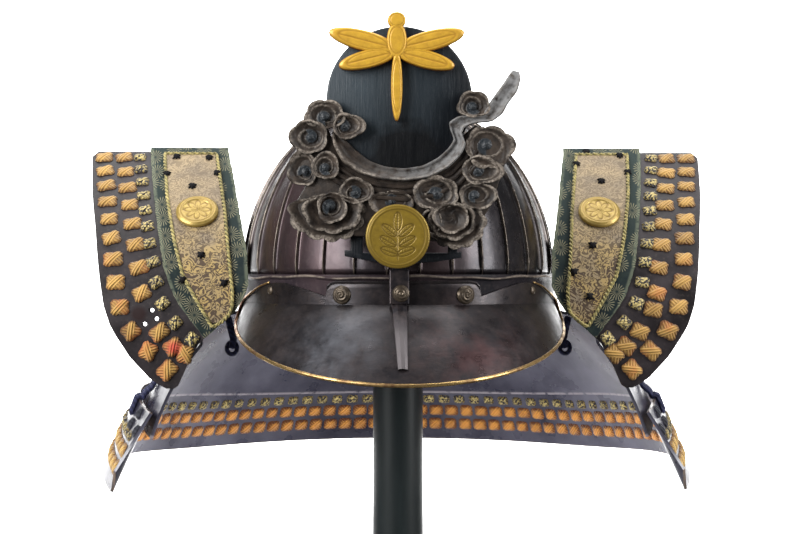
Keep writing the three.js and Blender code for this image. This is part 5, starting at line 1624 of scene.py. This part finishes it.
def wings():
    lacquer, border, leather = wing_lacquer(), border_material(), leather_material()
    cord = cord_material("green_braid", (0.56, 0.46, 0.17), (0.1, 0.09, 0.035), 1.2)
    gilt = gold("boss_gilt", (0.38, 0.265, 0.07), (0.13, 0.07, 0.015), 0.45)
    thread = plain_material("black_thread", (0.006, 0.0055, 0.007, 1), 0.8)
    thread.node_tree.nodes["Principled BSDF"].inputs["Specular IOR Level"].default_value = 0.2
    for side, name in SIDES:
        edges = (WING_INNER, WING_OUTER)
        sheet, _ = wing_sheet(f"wing_{name}_plate", side, *edges, WING_LIMITS, 0, WING_WALL, WING_STEPS)
        if side < 0:
            pierce(sheet, LACE_HOLES, LACE_HOLE_RADIUS, *LACE_HOLE_DEPTHS)
        place_piece(sheet, lacquer, "black_lacquer", f"wing_{name}")
        inner = WING_INNER[(WING_INNER[:, 0] >= 185)]
        inner = inner - np.exp(-(((inner[:, :1] - 240) / 30) ** 2)) * [0, BORDER_OVERHANG]
        edges = (inner, BORDER_OUTER)
        shape = (BORDER_LIMITS, BORDER_LIFT, CLOTH_WALL, BORDER_STEPS, BORDER_RUFFLE)
        cloth, share = wing_sheet(f"border_{name}", side, *edges, *shape)
        # The cloth's edges are marked for the painted highlight.
        add_attribute(cloth, "edge", np.tile(((share < 0.03) | (share > 0.97)).astype(float).ravel(), 2))
        place_piece(cloth, border, "teal_cloth", f"wing_border_{name}")
        edges = (BRAID_INNER + LEATHER_INSET, BRAID_OUTER - LEATHER_INSET)
        shape = (LEATHER_LIMITS, LEATHER_LIFT, CLOTH_WALL, LEATHER_STEPS)
        hide, _ = wing_sheet(f"leather_{name}", side, *edges, *shape)
        place_piece(hide, leather, "printed_leather", f"wing_leather_{name}")
        rope = braid(side)
        rope.name = f"braid_{name}"
        place_piece(rope, cord, "green_braid", f"wing_braid_{name}")
        for row, (line, silk, wide, tall) in WING_KNOTS.items():
            wing_knot_row(side, name, row, line, wide, tall, *SILKS[silk])
        boss_at(side, name, gilt)
        thread_knots(side, name, thread)


def boss_at(side, name, gilt):
    """A gilt disc with a double rim and a rosette of eight petals."""
    rim_rows = [0.72, 0.76, 0.8, 0.84, 0.88, 0.92, 0.96, 1, 1]
    share = np.concatenate([np.linspace(0.02, 0.68, 26), rim_rows])[:, None]
    turn = circle_turns(96)[None]
    petal = 0.5 + 0.5 * np.abs(np.cos(4 * turn))
    spokes = 0.7 * np.exp(-((np.sin(8 * turn) * share / 0.05) ** 2)) * (share < 0.3)
    line = np.exp(-(((share / 0.62 - petal) / 0.09) ** 2)) + spokes
    line = np.clip(line, 0, 1) * (share < 0.66)
    profile = np.interp(share, [0, 0.66, 0.74, 0.8, 0.86, 0.92, 1], [0.86, 0.78, 1, 0.8, 0.98, 0.72, 0.5])
    height = BOSS_RISE * profile - ENGRAVING_DEPTH * line
    height[-1] = 0
    x, z = BOSS_RADIUS * share * np.cos(turn), BOSS_RADIUS * share * np.sin(turn)
    centre, normal = off_wing(side, *BOSS_AT, BOSS_LIFT)
    up = np.cross(normal, [1, 0, 0])
    grid = centre + x[..., None] * np.array([1, 0, 0]) + z[..., None] * up + height[..., None] * normal
    cut = np.clip(line * 0.8 + np.interp(share, [0.66, 0.7, 0.8, 0.83, 0.9], [0, 0, 0.5, 0, 0]), 0, 1)
    piece = relief_piece(f"boss_{name}", grid, {"cut": cut}, ring=True)
    place_piece(piece, gilt, "gilt_metal", f"wing_boss_{name}")


def thread_knots(side, name, thread):
    """Small stars of thread: five thick strands that fan out from a tight knot."""
    parts = []
    for x, z in THREAD_KNOTS[side]:
        base, normal = off_wing(side, x, z, THREAD_LIFT)
        right = np.array([1, 0, 0])
        up = np.cross(normal, right)
        for turn in THREAD_TURNS:
            reach = 3 + 0.6 * np.sin(x + turn * 3)
            away = right * np.cos(turn) + up * np.sin(turn)
            path = [base + normal * 1.9, base + away * 0.9 + normal * 1.6, base + away * 2 + normal * 0.9]
            path += [base + away * reach + normal * 0.1]
            parts.append(tube("thread", path, [0.8, 1.05, 0.8, 0.45], 8))
    place_piece(join(f"thread_knots_{name}", parts), thread, "indigo_silk")


wings()

# Stand
# A plain turned stand of black-painted wood holds the helmet: a bevelled foot, a post and a rounded head.
BASE_PROFILE = [
    [0.5, 0], [102, 0], [105, 3], [105, 15], [102, 18], [20, 18], [18.5, 19.5], [17, 22], [0.5, 22],
]
POST_PROFILE = [[0.5, 18.3], [17, 18.3], [17, 100], [17, 200], [17, 318], [0.5, 320]]
HEAD_PROFILE = [
    [0.5, 320], [30, 320], [41, 322], [46.4, 325.5], [46.8, 328], [44, 332], [34, 338.6], [20, 343],
    [0.5, 344.8],
]


def stand():
    material, tree, wire = finish("black_paint", Specular_IOR_Level=0.3)
    grain = noise(tree, 6, 5, 0.6, (1, 1, 0.12))
    colour = mix(tree, grain, (0.005, 0.0075, 0.008), (0.014, 0.02, 0.021))
    wire(Base_Color=colour, Roughness=spread(tree, grain, 0.34, 0.5))
    parts = (("base", BASE_PROFILE, 96), ("post", POST_PROFILE, 64), ("head", HEAD_PROFILE, 72))
    for name, profile, sides in parts:
        piece = sharpen(turned(f"stand_{name}_turned", profile, sides), 30)
        place_piece(piece, material, "stand_black", f"stand_{name}")


stand()
